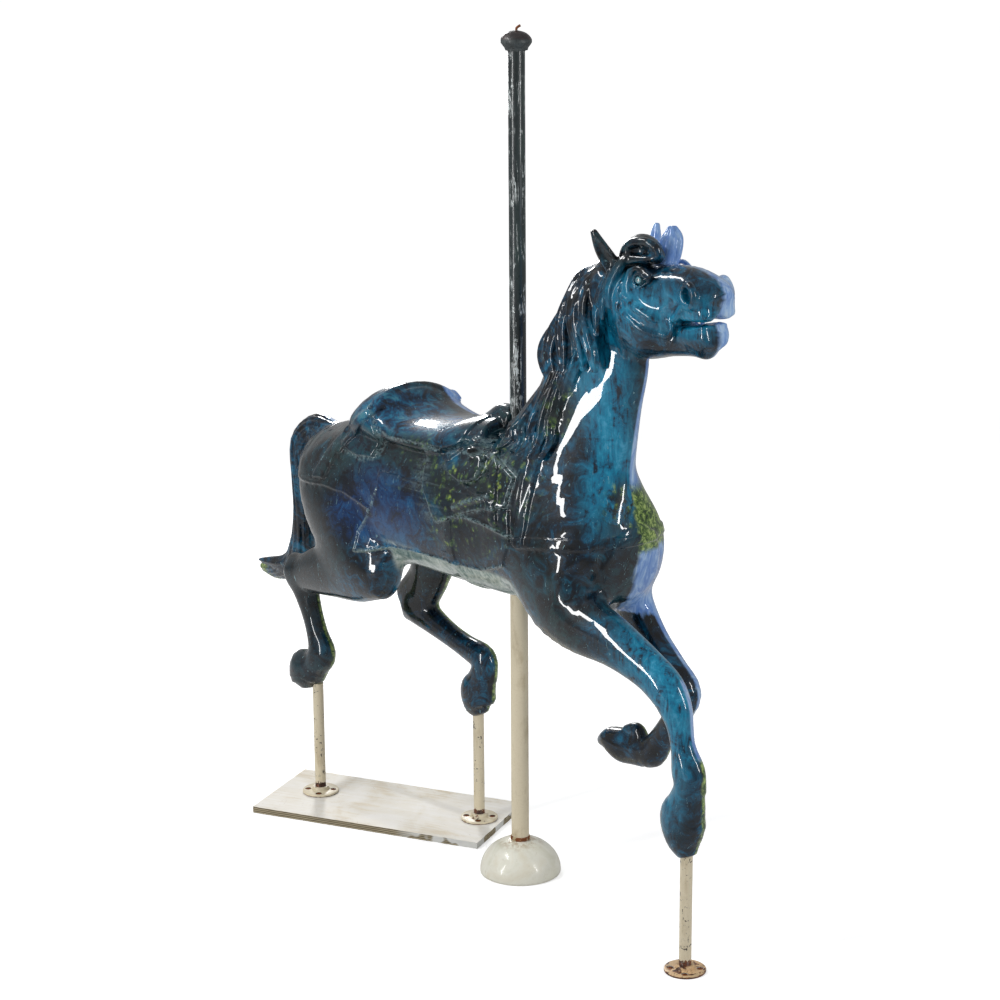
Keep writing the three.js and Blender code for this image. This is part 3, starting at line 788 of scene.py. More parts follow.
def make_poles():
    pieces = []
    for name, node in (("upper_pole_sleeve", "upper_pole"), ("lower_pole_pipe", "lower_pole")):
        low, high, middle = node_box(node)
        radius = (high[0] - low[0]) / 2
        heights = np.linspace(low[2], high[2], 60)
        profile = [[0, low[2]], *[[radius, z] for z in heights], [0, high[2]]]
        piece = turned(name, profile, middle, 48)
        waves = ((1, 0.013, 0.4), (2, 0.021, 2.0), (3, 0.037, 4.1))
        reshape(piece, lambda points: dented(points, middle, 0.012, waves))
        pieces.append(piece)
    return pieces


def make_cap():
    low, high, middle = node_box("finial")
    radius, height = (high[0] - low[0]) / 2, high[2] - low[2] - 2
    rows = catmull(np.array(CAP_PROFILE, np.float32), np.linspace(0, len(CAP_PROFILE) - 1, 41))
    profile = [[0, low[2]], [19.5, low[2]], [20.5, low[2] + 2]]
    profile += [[max(0, min(r, 1)) * radius, low[2] + 2 + min(h, 1) * height] for r, h in rows]
    cap = turned("finial_cap", profile, middle, 72)
    waves = ((3, 0.05, 1.0), (5, 0.11, 2.6), (2, 0.02, 0.3))

    def tilt(points):
        points = dented(points, middle, 0.035, waves)
        rise = np.clip((points[:, 2] - low[2] - 14) / height, 0, 1)
        sag = CAP_LEAN * rise * np.clip(points[:, 0] + 12, 0, None)
        points[:, 2] -= sag * (points[:, 2] < high[2] - 0.4)
        return points

    reshape(cap, tilt)
    return cap


def make_collar():
    low, high, middle = node_box("pole_collar")
    radius, inner = (high[0] - low[0]) / 2, (high[0] - low[0]) / 2 - 2.6
    rise = high[2] - low[2]
    bulge = [[radius * w, low[2] + rise * h] for w, h in (
        (0.97, 0), (1, 0.12), (0.99, 0.3), (0.95, 0.42), (0.98, 0.58), (0.99, 0.74), (0.95, 0.9), (0.92, 1),
    )]
    collar = turned("pole_collar_weld", [*bulge, [inner, high[2]], [inner, low[2]]], middle, 96, closed=True)
    waves = ((9, 0.3, 0.0), (14, 0.9, 1.7), (23, 1.7, 3.1))
    reshape(collar, lambda points: dented(points, middle, 0.06, waves))
    return collar


def make_dome():
    low, high, middle = node_box("dome_base")
    radius, top = (high[0] - low[0]) / 2, high[2] - low[2]
    shell = [[0, 0], [radius - 3, 0], [radius - 0.8, 0.8], [radius, 3], [radius, 7]]
    for k in range(1, 29):
        angle = math.radians(76.5) * k / 28
        shell.append([radius * math.cos(angle), 7 + (top - 7) * math.sin(angle) / math.sin(math.radians(76.5))])
    dome = turned("dome_shell", [*shell, [0, top]], middle, 96)
    reshape(dome, lambda points: dented(points, middle, 0.008, ((2, 0.03, 1.2), (5, 0.06, 0.2), (7, 0.02, 2.0))))
    return dome


def make_rod(node):
    low, high, middle = node_box(node)
    radius = (high[0] - low[0]) / 2
    hub_top = low[2] + FLANGE["hub_height"] - 0.3
    profile = [[0, low[2]], [radius, low[2]], [radius, hub_top]]
    for k in range(THREAD["turns"]):
        z = hub_top + k * THREAD["pitch"]
        profile += [[radius - THREAD["depth"], z + 0.5 * THREAD["pitch"]], [radius, z + THREAD["pitch"]]]
    profile += [[radius, z] for z in np.linspace(profile[-1][1] + 2, high[2] - 1.2, 24)]
    rod = turned(f"{node}_pipe", [*profile, [radius - 1.2, high[2]], [0, high[2]]], middle, 40)
    heights = np.array([v.co.z for v in rod.data.vertices], np.float32) / MM
    foot = smooth(heights, hub_top + 20, hub_top + 5)
    rod.data.attributes.new("foot", "FLOAT", "POINT").data.foreach_set("value", foot)
    return rod


def tree_of(name, sockets):
    tree = bpy.data.node_groups.new(name, "GeometryNodeTree")
    for label, kind in sockets:
        tree.interface.new_socket(name=label, in_out="INPUT", socket_type=kind)
    tree.interface.new_socket(name="Mesh", in_out="OUTPUT", socket_type="NodeSocketGeometry")
    start, end = tree.nodes.new("NodeGroupInput"), tree.nodes.new("NodeGroupOutput")
    return tree, start, end


def drilling_tree():
    """Cuts countersunk holes through a flange, evenly round its middle."""
    numbers = ("Holes", "NodeSocketInt"), ("Circle", "NodeSocketFloat"), ("Radius", "NodeSocketFloat")
    sinks = ("Sink", "NodeSocketFloat"), ("Depth", "NodeSocketFloat"), ("Top", "NodeSocketFloat")
    tree, start, end = tree_of(
        "countersunk_holes", [("Mesh", "NodeSocketGeometry"), *numbers, *sinks, ("Finish", "NodeSocketMaterial")])
    new, link = tree.nodes.new, tree.links.new
    ring = new("GeometryNodeMeshCircle")
    link(start.outputs["Holes"], ring.inputs["Vertices"])
    link(start.outputs["Circle"], ring.inputs["Radius"])
    turn = new("GeometryNodeTransform")
    turn.inputs["Rotation"].default_value = (0, 0, math.pi / 4)
    link(ring.outputs["Mesh"], turn.inputs["Geometry"])
    drill = new("GeometryNodeMeshCylinder")
    drill.inputs["Vertices"].default_value = 28
    drill.inputs["Depth"].default_value = 0.06
    link(start.outputs["Radius"], drill.inputs["Radius"])
    sink = new("GeometryNodeMeshCone")
    sink.inputs["Vertices"].default_value = 28
    link(start.outputs["Sink"], sink.inputs["Radius Top"])
    link(start.outputs["Radius"], sink.inputs["Radius Bottom"])
    link(start.outputs["Depth"], sink.inputs["Depth"])
    lift = new("GeometryNodeTransform")
    height = new("ShaderNodeCombineXYZ")
    link(start.outputs["Top"], height.inputs["Z"])
    link(height.outputs["Vector"], lift.inputs["Translation"])
    link(sink.outputs["Mesh"], lift.inputs["Geometry"])
    cutters = []
    for cutter in (drill.outputs["Mesh"], lift.outputs["Geometry"]):
        spread = new("GeometryNodeInstanceOnPoints")
        link(turn.outputs["Geometry"], spread.inputs["Points"])
        link(cutter, spread.inputs["Instance"])
        real = new("GeometryNodeRealizeInstances")
        link(spread.outputs["Instances"], real.inputs["Geometry"])
        cutters.append(real.outputs["Geometry"])
    body = start.outputs["Mesh"]
    for cutter in cutters:
        cut = new("GeometryNodeMeshBoolean")
        cut.operation = "DIFFERENCE"
        link(body, cut.inputs["Mesh 1"])
        link(cutter, cut.inputs["Mesh 2"])
        body = cut.outputs["Mesh"]
    last = new("GeometryNodeRealizeInstances")
    link(body, last.inputs["Geometry"])
    finish = new("GeometryNodeSetMaterial")
    link(last.outputs["Geometry"], finish.inputs["Geometry"])
    link(start.outputs["Finish"], finish.inputs["Material"])
    link(finish.outputs["Geometry"], end.inputs["Mesh"])
    return tree


def screw_tree():
    """Sets a screw in each hole, each turned its own way."""
    sockets = ("Screws", "NodeSocketInt"), ("Circle", "NodeSocketFloat"), ("Top", "NodeSocketFloat")
    tree, start, end = tree_of("set_screws", [
        ("Mesh", "NodeSocketGeometry"), *sockets, ("Seed", "NodeSocketInt"), ("Finish", "NodeSocketMaterial")])
    new, link = tree.nodes.new, tree.links.new
    ring = new("GeometryNodeMeshCircle")
    link(start.outputs["Screws"], ring.inputs["Vertices"])
    link(start.outputs["Circle"], ring.inputs["Radius"])
    turn = new("GeometryNodeTransform")
    turn.inputs["Rotation"].default_value = (0, 0, math.pi / 4)
    height = new("ShaderNodeCombineXYZ")
    link(start.outputs["Top"], height.inputs["Z"])
    link(height.outputs["Vector"], turn.inputs["Translation"])
    link(ring.outputs["Mesh"], turn.inputs["Geometry"])
    spin = new("FunctionNodeRandomValue")
    spin.data_type = "FLOAT_VECTOR"
    spin.inputs["Min"].default_value = (0, 0, 0)
    spin.inputs["Max"].default_value = (0, 0, 3.1)
    link(start.outputs["Seed"], spin.inputs["Seed"])
    spread = new("GeometryNodeInstanceOnPoints")
    link(turn.outputs["Geometry"], spread.inputs["Points"])
    link(start.outputs["Mesh"], spread.inputs["Instance"])
    link(spin.outputs["Value"], spread.inputs["Rotation"])
    real = new("GeometryNodeRealizeInstances")
    link(spread.outputs["Instances"], real.inputs["Geometry"])
    finish = new("GeometryNodeSetMaterial")
    link(real.outputs["Geometry"], finish.inputs["Geometry"])
    link(start.outputs["Finish"], finish.inputs["Material"])
    link(finish.outputs["Geometry"], end.inputs["Mesh"])
    return tree


def grown(piece, tree, **values):
    """Runs a tree on a piece with its named inputs, and keeps the plain mesh."""
    modifier = piece.modifiers.new("grown", "NODES")
    modifier.node_group = tree
    names = {item.name: item.identifier for item in tree.interface.items_tree if item.in_out == "INPUT"}
    for name, value in values.items():
        modifier[names[name]] = value
    settle(piece)
    return piece


def shifted(piece, offset):
    piece.data.transform(Matrix.Translation(tuple(c * MM for c in offset)))
    piece.data.update()
    return piece


def make_flange(node, tree, finish):
    low, high, middle = node_box(node)
    radius = (high[0] - low[0]) / 2
    top, hub, rise = FLANGE["thickness"], FLANGE["hub"], FLANGE["hub_height"]
    inner = 13.35 + 0.4
    profile = [[inner, 0], [radius - 0.8, 0], [radius, 0.8], [radius, top - FLANGE["bevel"]]]
    profile += [[radius - 0.5, top - 0.5], [radius - FLANGE["bevel"], top], [hub + FLANGE["fillet"], top]]
    for k in range(1, 6):
        angle = math.radians(90) * k / 6
        profile.append([
            hub + FLANGE["fillet"] * (1 - math.sin(angle)), top + FLANGE["fillet"] * (1 - math.cos(angle))])
    profile += [[hub, top + FLANGE["fillet"]], [hub - 1, rise - 1.2], [hub - 2, rise], [inner, rise]]
    flange = turned(f"{node}_casting", profile, (0, 0), 96, closed=True)
    flange.data.materials.append(finish)
    grown(
        flange, tree, Holes=HOLES["count"], Circle=HOLES["circle"] * MM, Radius=HOLES["radius"] * MM,
        Sink=(HOLES["sink"] + 0.2) * MM, Depth=HOLES["depth"] * MM,
        Top=(top - HOLES["depth"] + 0.05) * MM, Finish=finish,
    )
    flange.data.shade_smooth()
    flange.data.set_sharp_from_angle(angle=math.radians(30))
    return shifted(flange, (middle[0], middle[1], low[2]))


def make_screws(node, tree, finish, seed):
    low, high, middle = node_box(node)
    head = turned(f"{node}_screws", [
        [0, -3.4], [3.1, -3.4], [6.3, -0.6], [6.4, -0.1], [5.6, 0.25], [1.9, 0.35], [1.7, -1.2], [0, -1.3],
    ], (0, 0), 20)
    grown(
        head, tree, Screws=HOLES["count"], Circle=HOLES["circle"] * MM,
        Top=(FLANGE["thickness"] - 1.1) * MM, Seed=seed, Finish=finish,
    )
    return shifted(head, (middle[0], middle[1], low[2]))


def make_board():
    """Glued plies, one above the other, with edges a little ragged."""
    low, high, middle = node_box("plywood_board")
    rng = np.random.default_rng(BOARD["seed"])
    turn = math.radians(BOARD["turn"])
    half = np.array([BOARD["length"], BOARD["width"]]) / 2
    counts = (60, 28)
    outline = []
    for side, count in enumerate((*counts, *counts)):
        share = np.linspace(-1, 1, count, endpoint=False)
        ones = np.ones(count)
        pairs = ((share, -ones), (ones, share), (-share, ones), (-ones, -share))[side]
        outline += list(zip(*pairs))
    outline = np.array(outline)
    points, faces = [], []
    layer = (high[2] - low[2]) / BOARD["plies"]
    for ply in range(BOARD["plies"]):
        drawn = rng.random(len(outline)) ** 3 * BOARD["rough"] + (0.5 if ply % 2 else 0.0)
        inset = np.minimum(drawn, 1.4)[:, None]
        flat = outline * (half - inset)
        x = middle[0] + flat[:, 0] * math.cos(turn) - flat[:, 1] * math.sin(turn)
        y = middle[1] + flat[:, 0] * math.sin(turn) + flat[:, 1] * math.cos(turn)
        count, base = len(x), len(points)
        for z in (low[2] + ply * layer, low[2] + (ply + 1) * layer):
            points += list(zip(x, y, [z] * count))
        faces.append([base + k for k in reversed(range(count))])
        faces.append([base + count + k for k in range(count)])
        faces += [[base + k, base + (k + 1) % count, base + count + (k + 1) % count, base + count + k]
                  for k in range(count)]
    mesh = bpy.data.meshes.new("plywood_plies")
    mesh.from_pydata([tuple(float(c) * MM for c in point) for point in points], [], faces)
    board = bpy.data.objects.new("plywood_plies", mesh)
    bpy.context.scene.collection.objects.link(board)
    return board


def make_eye(name, side):
    """An eyeball with a raised iris and a sunk pupil, looking out and a little ahead."""
    r = EYE["radius"]
    profile = [[0, -r]]
    profile += [[r * math.cos(math.radians(a)), r * math.sin(math.radians(a))] for a in range(-80, 57, 8)]
    profile += [[5.9, 10.7], [5.6, 11.5], [4.9, 11.8], [4.3, 11.5], [3.3, 11.2], [2.9, 10.6], [0, 10.4]]
    eye = turned(name, profile, (0, 0), 40)
    ahead = Vector((EYE_FACING[0], -side * EYE_FACING[1], EYE_FACING[2]))
    turn = ahead.to_track_quat("Z", "Y").to_matrix().to_4x4()
    heights = np.array([v.co.z for v in eye.data.vertices], np.float32) / MM
    reach = np.array([math.hypot(v.co.x, v.co.y) for v in eye.data.vertices], np.float32) / MM
    iris = smooth(heights, 9, 10.4) * smooth(reach, 6.6, 5.6)
    pupil = smooth(heights, 9, 10.4) * smooth(reach, 3.6, 3.0)
    for label, values in (("iris", iris), ("pupil", pupil)):
        eye.data.attributes.new(label, "FLOAT", "POINT").data.foreach_set("value", values)
    eye.data.transform(Matrix.Translation(tuple(c * MM for c in sided(EYE["at"], side))) @ turn)
    return eye


# ---- Materials ----------------------------------------------------------------------------


def tint(red, green, blue):
    """A colour given in 0 to 255, as the shaders take it."""
    return tuple(((c / 255 + 0.055) / 1.055) ** 2.4 if c > 10 else c / 255 / 12.92 for c in (red, green, blue))


class Finish:
    """A material's node tree, and the few nodes that this object's finishes are mixed from."""

    def __init__(self, name, roughness=0.5, metallic=0.0, coat=0.0, coat_roughness=0.03, specular=0.5):
        self.material = bpy.data.materials.new(name)
        self.material.use_nodes = True
        self.nodes = self.material.node_tree.nodes
        self.links = self.material.node_tree.links
        self.shader = self.nodes["Principled BSDF"]
        for socket, value in (
            ("Roughness", roughness), ("Metallic", metallic), ("Coat Weight", coat),
            ("Coat Roughness", coat_roughness), ("Specular IOR Level", specular),
        ):
            self.shader.inputs[socket].default_value = value
        self.place = self.nodes.new("ShaderNodeTexCoord").outputs["Object"]

    def put(self, socket, value):
        if isinstance(value, bpy.types.NodeSocket):
            self.links.new(value, socket)
        elif isinstance(value, tuple) and len(value) == 3 and socket.type == "RGBA":
            socket.default_value = (*value, 1)
        else:
            socket.default_value = value

    def moved(self, scale=(1, 1, 1), turn=(0, 0, 0), shift=(0, 0, 0)):
        node = self.nodes.new("ShaderNodeMapping")
        self.put(node.inputs["Vector"], self.place)
        node.inputs["Scale"].default_value = scale
        node.inputs["Rotation"].default_value = turn
        node.inputs["Location"].default_value = shift
        return node.outputs["Vector"]

    def noise(self, scale, detail=4, roughness=0.55, bend=0.0, place=None):
        node = self.nodes.new("ShaderNodeTexNoise")
        self.put(node.inputs["Vector"], place or self.place)
        node.inputs["Scale"].default_value = scale
        node.inputs["Detail"].default_value = detail
        node.inputs["Roughness"].default_value = roughness
        node.inputs["Distortion"].default_value = bend
        return node.outputs["Fac"]

    def cells(self, scale, place=None, feature="F1"):
        node = self.nodes.new("ShaderNodeTexVoronoi")
        node.feature = feature
        self.put(node.inputs["Vector"], place or self.place)
        node.inputs["Scale"].default_value = scale
        return node.outputs["Distance"]

    def ramp(self, share, stops):
        node = self.nodes.new("ShaderNodeValToRGB")
        self.put(node.inputs["Fac"], share)
        band = node.color_ramp
        while len(band.elements) < len(stops):
            band.elements.new(0.5)
        for element, (at, color) in zip(band.elements, stops):
            element.position = at
            element.color = (*color, 1) if isinstance(color, tuple) else (color, color, color, 1)
        return node.outputs["Color"]

    def fade(self, value, start, end, low=0.0, high=1.0):
        node = self.nodes.new("ShaderNodeMapRange")
        self.put(node.inputs["Value"], value)
        for socket, number in (("From Min", start), ("From Max", end), ("To Min", low), ("To Max", high)):
            node.inputs[socket].default_value = number
        return node.outputs["Result"]

    def sum(self, kind, first, second):
        node = self.nodes.new("ShaderNodeMath")
        node.operation = kind
        self.put(node.inputs[0], first)
        self.put(node.inputs[1], second)
        return node.outputs["Value"]

    def mix(self, share, under, over, kind="MIX"):
        node = self.nodes.new("ShaderNodeMix")
        node.data_type = "RGBA"
        node.blend_type = kind
        self.put(node.inputs[0], share)
        self.put(node.inputs[6], under)
        self.put(node.inputs[7], over)
        return node.outputs[2]

    def mask(self, name):
        node = self.nodes.new("ShaderNodeAttribute")
        node.attribute_name = name
        return node.outputs["Fac"]

    def axis(self, letter, place=None):
        node = self.nodes.new("ShaderNodeSeparateXYZ")
        self.put(node.inputs[0], place or self.place)
        return node.outputs[letter]

    def done(self, color, roughness=None, height=None, depth=0.001, strength=0.5):
        self.put(self.shader.inputs["Base Color"], color)
        if roughness is not None:
            self.put(self.shader.inputs["Roughness"], roughness)
        if height is not None:
            bump = self.nodes.new("ShaderNodeBump")
            bump.inputs["Strength"].default_value = strength
            bump.inputs["Distance"].default_value = depth
            self.put(bump.inputs["Height"], height)
            self.put(self.shader.inputs["Normal"], bump.outputs["Normal"])
        return self.material


INK, NAVY, PETROL = tint(4, 10, 16), tint(6, 28, 46), tint(6, 62, 88)
TEAL, SEA, SKY = tint(8, 106, 142), tint(12, 132, 168), tint(72, 160, 196)
MOSS, LEAF, LIME = tint(24, 46, 34), tint(64, 92, 44), tint(158, 178, 78)
PERIWINKLE, HAZE, CLOUD = tint(136, 172, 222), tint(172, 202, 234), tint(206, 222, 238)
SAGE, SMOKE, COBALT = tint(150, 168, 160), tint(12, 26, 32), tint(12, 46, 88)


def horse_paint():
    """Glossy dark blues and greens on the near side, a pale sky and meadow on the far one."""
    f = Finish("horse_paint", roughness=0.3, coat=1.0, coat_roughness=0.02, specular=0.15)
    f.shader.inputs["Coat IOR"].default_value = 1.5
    wash = f.noise(5, 5, 0.6, 0.6)
    sponge = f.noise(24, 9, 0.7, 1.2)
    grain = f.noise(120, 6, 0.7, 0.4)
    strokes = f.noise(58, 6, 0.64, 1.4, f.moved((1, 1, 0.2)))
    mottle = f.sum("ADD", f.sum("MULTIPLY", wash, 0.35), f.sum("MULTIPLY", sponge, 0.65))
    near = f.ramp(mottle, [(0.43, INK), (0.49, NAVY), (0.54, PETROL), (0.62, TEAL)])
    mossy = f.sum("MULTIPLY", f.fade(f.noise(3.2, 3, 0.5), 0.5, 0.6), f.fade(sponge, 0.44, 0.56, 0, 0.8))
    near = f.mix(mossy, near, tint(20, 48, 44))
    washed = f.sum("ADD", f.sum("MULTIPLY", strokes, 0.5), f.sum("MULTIPLY", sponge, 0.5))
    bright = f.ramp(washed, [(0.4, NAVY), (0.47, TEAL), (0.55, SEA), (0.66, SKY)])
    near = f.mix(f.mask("neck_blue"), near, bright)
    shade = f.ramp(sponge, [(0.42, tint(5, 8, 12)), (0.5, SMOKE), (0.6, tint(14, 34, 44))])
    near = f.mix(f.mask("haunch_dark"), near, shade)
    cloth = f.ramp(mottle, [(0.42, tint(6, 18, 38)), (0.5, COBALT), (0.6, tint(22, 76, 124))])
    near = f.mix(f.mask("blanket_blue"), near, cloth)
    seat = f.ramp(sponge, [(0.4, NAVY), (0.48, tint(10, 60, 96)), (0.56, TEAL), (0.66, tint(70, 132, 150))])
    near = f.mix(f.mask("seat_blue"), near, seat)
    dabs = f.cells(62, f.moved((1, 1, 0.8)))
    green = f.ramp(f.noise(48, 7, 0.7, 1.0), [(0.44, MOSS), (0.54, LEAF), (0.64, LIME)])
    spotted = f.mix(f.fade(dabs, 0.5, 0.2), tint(8, 26, 30), green)
    leafy = f.sum("MULTIPLY", f.mask("foliage"), f.fade(mottle, 0.46, 0.52))
    near = f.mix(leafy, near, spotted)
    # Pale on the belly's underside: its pale paint, and a painted reflection of the white floor.
    under = f.ramp(washed, [(0.42, tint(96, 122, 118)), (0.5, SAGE), (0.6, tint(196, 206, 200))])
    near = f.mix(f.mask("belly_paint_and_floor_reflection"), near, under)
    # Pale lines along the tack's raised edges: rubbed paint, and a painted highlight on the ridges.
    worn_and_highlit = f.sum("MULTIPLY", f.mask("ridge"), f.fade(grain, 0.44, 0.56))
    near = f.mix(worn_and_highlit, near, tint(140, 168, 172))
    # Thin pale teal streaks over the near side: painted highlight veins on the gloss.
    highlight_veins = f.noise(90, 6, 0.66, 2.4, f.moved((1, 1, 0.3), (0.5, 0.3, 0)))
    near = f.mix(f.fade(highlight_veins, 0.64, 0.67, 0, 0.75), near, tint(118, 160, 170))
    far = f.ramp(f.sum("ADD", f.sum("MULTIPLY", strokes, 0.55), f.sum("MULTIPLY", wash, 0.45)),
                 [(0.42, tint(96, 138, 204)), (0.5, PERIWINKLE), (0.57, HAZE), (0.66, CLOUD)])
    meadow = f.ramp(
        f.noise(90, 6, 0.7, 0.6), [(0.4, tint(28, 52, 28)), (0.5, tint(86, 116, 52)), (0.6, tint(166, 188, 108))])
    far = f.mix(f.mask("meadow"), far, meadow)
    paint = f.mix(f.mask("far"), near, far)
    height = f.sum("ADD", f.sum("MULTIPLY", strokes, 0.6), f.sum("MULTIPLY", grain, 0.4))
    return f.done(paint, f.fade(grain, 0.3, 0.7, 0.22, 0.42), height, depth=0.0012, strength=0.3)


CREAM, IVORY, STAIN = tint(226, 214, 186), tint(236, 232, 220), tint(186, 168, 132)
RUST, DARK_RUST, COPPER = tint(122, 70, 40), tint(66, 38, 26), tint(150, 92, 52)
# The white of flaked paint, also used for painted highlight streaks on the upper pole.
CHARCOAL, SOOT, FLAKE_AND_HIGHLIGHT = tint(34, 46, 48), tint(26, 24, 26), tint(214, 222, 222)


def painted_steel(name, chips=0.68, foot=None, rim=None, light=CREAM, dark=STAIN):
    """Old cream enamel, yellowed in places, chipped to dark steel, with rust where it is told."""
    f = Finish(name, roughness=0.42, coat=0.25, coat_roughness=0.2)
    cloud = f.noise(14, 5, 0.6, 0.4)
    drips = f.noise(30, 6, 0.62, 0.8, f.moved((1, 1, 0.16)))
    fine = f.noise(260, 6, 0.7)
    color = f.ramp(f.sum("ADD", f.sum("MULTIPLY", cloud, 0.5), f.sum("MULTIPLY", drips, 0.5)),
                   [(0.32, dark), (0.48, light), (0.72, light)])
    color = f.mix(f.fade(fine, 0.5, 0.8, 0, 0.25), color, dark, "MULTIPLY")
    flecks = f.noise(62, 7, 0.66, 1.4)
    chipped = f.fade(flecks, chips, chips + 0.015)
    rusty = f.ramp(f.noise(70, 8, 0.72, 0.6), [(0.44, DARK_RUST), (0.56, RUST), (0.68, COPPER)])
    color = f.mix(chipped, color, tint(44, 34, 28))
    height = f.sum("SUBTRACT", f.sum("MULTIPLY", fine, 0.25), chipped)
    rusted = None
    if foot:
        ragged = f.sum("ADD", f.mask(foot), f.fade(f.noise(110, 6, 0.7, 1.0), 0.35, 0.65, -0.45, 0.35))
        rusted = f.fade(ragged, 0.52, 0.62)
    if rim:
        start, end, patch = rim
        edge = f.fade(f.sum("ADD", f.axis("Z"), f.fade(f.noise(60, 6, 0.7), 0.3, 0.7, -0.0012, 0.0012)), start, end)
        patches = f.fade(f.noise(34, 6, 0.7, 1.2), patch, patch + 0.03)
        rusted = f.sum("MAXIMUM", edge, patches)
    if rusted is not None:
        color = f.mix(rusted, color, rusty)
        height = f.sum("ADD", height, f.sum("MULTIPLY", rusted, f.noise(300, 6, 0.75)))
    rough = f.fade(fine, 0.3, 0.7, 0.34, 0.6)
    return f.done(color, rough, height, depth=0.0006, strength=0.5)


def dome_enamel():
    f = Finish("dome_cream", roughness=0.4, coat=0.4, coat_roughness=0.12)
    cloud = f.noise(11, 6, 0.6, 0.8)
    fine = f.noise(90, 8, 0.7)
    color = f.ramp(cloud, [(0.34, tint(222, 220, 200)), (0.5, tint(238, 236, 222)), (0.66, tint(230, 224, 204))])
    color = f.mix(f.fade(fine, 0.58, 0.72, 0, 0.5), color, tint(204, 196, 172))
    ring = f.fade(f.axis("Z"), 0.066, 0.082)
    stained = f.sum("MULTIPLY", ring, f.fade(f.noise(60, 6, 0.7), 0.46, 0.56, 0, 0.8))
    color = f.mix(stained, color, tint(176, 150, 112))
    # Painted contact shade: the lowest 6 mm of the dome is greyer, in patches, where it meets the floor.
    foot = f.sum("MULTIPLY", f.fade(f.axis("Z"), 0.006, 0.0), f.fade(f.noise(40, 6, 0.7), 0.4, 0.6, 0.1, 0.8))
    color = f.mix(foot, color, tint(178, 172, 156))
    return f.done(color, f.fade(fine, 0.3, 0.7, 0.28, 0.5), fine, depth=0.0008, strength=0.3)


def sleeve_paint():
    """Green-black paint, crazed and flaking off to white, most of all low on the pole; its white vertical streaks
    are partly flaked paint and partly a painted highlight, the softbox's reflection.
    """
    f = Finish("pole_charcoal", roughness=0.3, coat=0.7, coat_roughness=0.06)
    wash = f.noise(20, 6, 0.6, 0.5, f.moved((1, 1, 0.3)))
    color = f.ramp(wash, [(0.34, tint(16, 24, 26)), (0.5, CHARCOAL), (0.68, tint(48, 66, 64))])
    # White vertical streaks: paint flaked off, and a painted highlight of the softbox's reflection on the pole.
    streak = f.noise(62, 7, 0.62, 0.9, f.moved((1, 1, 0.1)))
    ragged = f.noise(150, 8, 0.7, 1.5, f.moved((1, 1, 0.4)))
    low = f.fade(f.axis("Z"), 1.45, 1.02, 0.0, 0.06)
    worn_and_highlit = f.sum("ADD", f.sum("ADD", f.sum("MULTIPLY", streak, 0.62), f.sum("MULTIPLY", ragged, 0.38)), low)
    flaked_and_highlit = f.fade(worn_and_highlit, 0.6, 0.615)
    veins = f.noise(44, 7, 0.6, 0.7, f.moved((1, 1, 0.12)))
    vein = f.fade(f.sum("ABSOLUTE", f.sum("SUBTRACT", veins, 0.5), 0), 0.016, 0.007)
    crazed = f.sum("MULTIPLY", vein, f.fade(f.noise(20, 4, 0.6), 0.46, 0.52))
    white = f.sum("MAXIMUM", flaked_and_highlit, crazed)
    color = f.mix(white, color, FLAKE_AND_HIGHLIGHT)
    height = f.sum("ADD", f.sum("MULTIPLY", white, -0.8), f.sum("MULTIPLY", ragged, 0.6))
    return f.done(color, f.fade(ragged, 0.3, 0.7, 0.2, 0.5), height, depth=0.0008, strength=0.6)


def cap_paint():
    f = Finish("cap_charcoal", roughness=0.5, coat=0.25, coat_roughness=0.25)
    lump = f.noise(45, 7, 0.68, 0.8)
    fine = f.noise(240, 7, 0.72)
    band = f.ramp(lump, [(0.34, tint(30, 36, 38)), (0.52, tint(56, 64, 66)), (0.7, tint(92, 98, 98))])
    crown = f.ramp(lump, [(0.36, SOOT), (0.52, tint(44, 38, 40)), (0.7, tint(74, 62, 62))])
    high = f.fade(f.sum("ADD", f.axis("Z"), f.fade(lump, 0.3, 0.7, -0.004, 0.004)), 1.916, 1.921)
    color = f.mix(high, band, crown)
    color = f.mix(f.fade(fine, 0.62, 0.72, 0, 0.6), color, tint(120, 118, 114))
    height = f.sum("ADD", lump, f.sum("MULTIPLY", fine, 0.3))
    return f.done(color, f.fade(fine, 0.3, 0.7, 0.36, 0.66), height, depth=0.0022, strength=0.6)


def rusty_iron(name="rust_iron", cream=0.56):
    f = Finish(name, roughness=0.8, specular=0.3)
    grain = f.noise(150, 8, 0.75, 0.6)
    patch = f.noise(52, 6, 0.66, 0.8)
    color = f.ramp(grain, [(0.34, DARK_RUST), (0.48, RUST), (0.64, COPPER), (0.78, tint(150, 96, 60))])
    color = f.mix(f.fade(patch, cream, cream + 0.03), color, STAIN)
    return f.done(color, f.fade(grain, 0.3, 0.7, 0.6, 0.92), grain, depth=0.0015, strength=0.8)


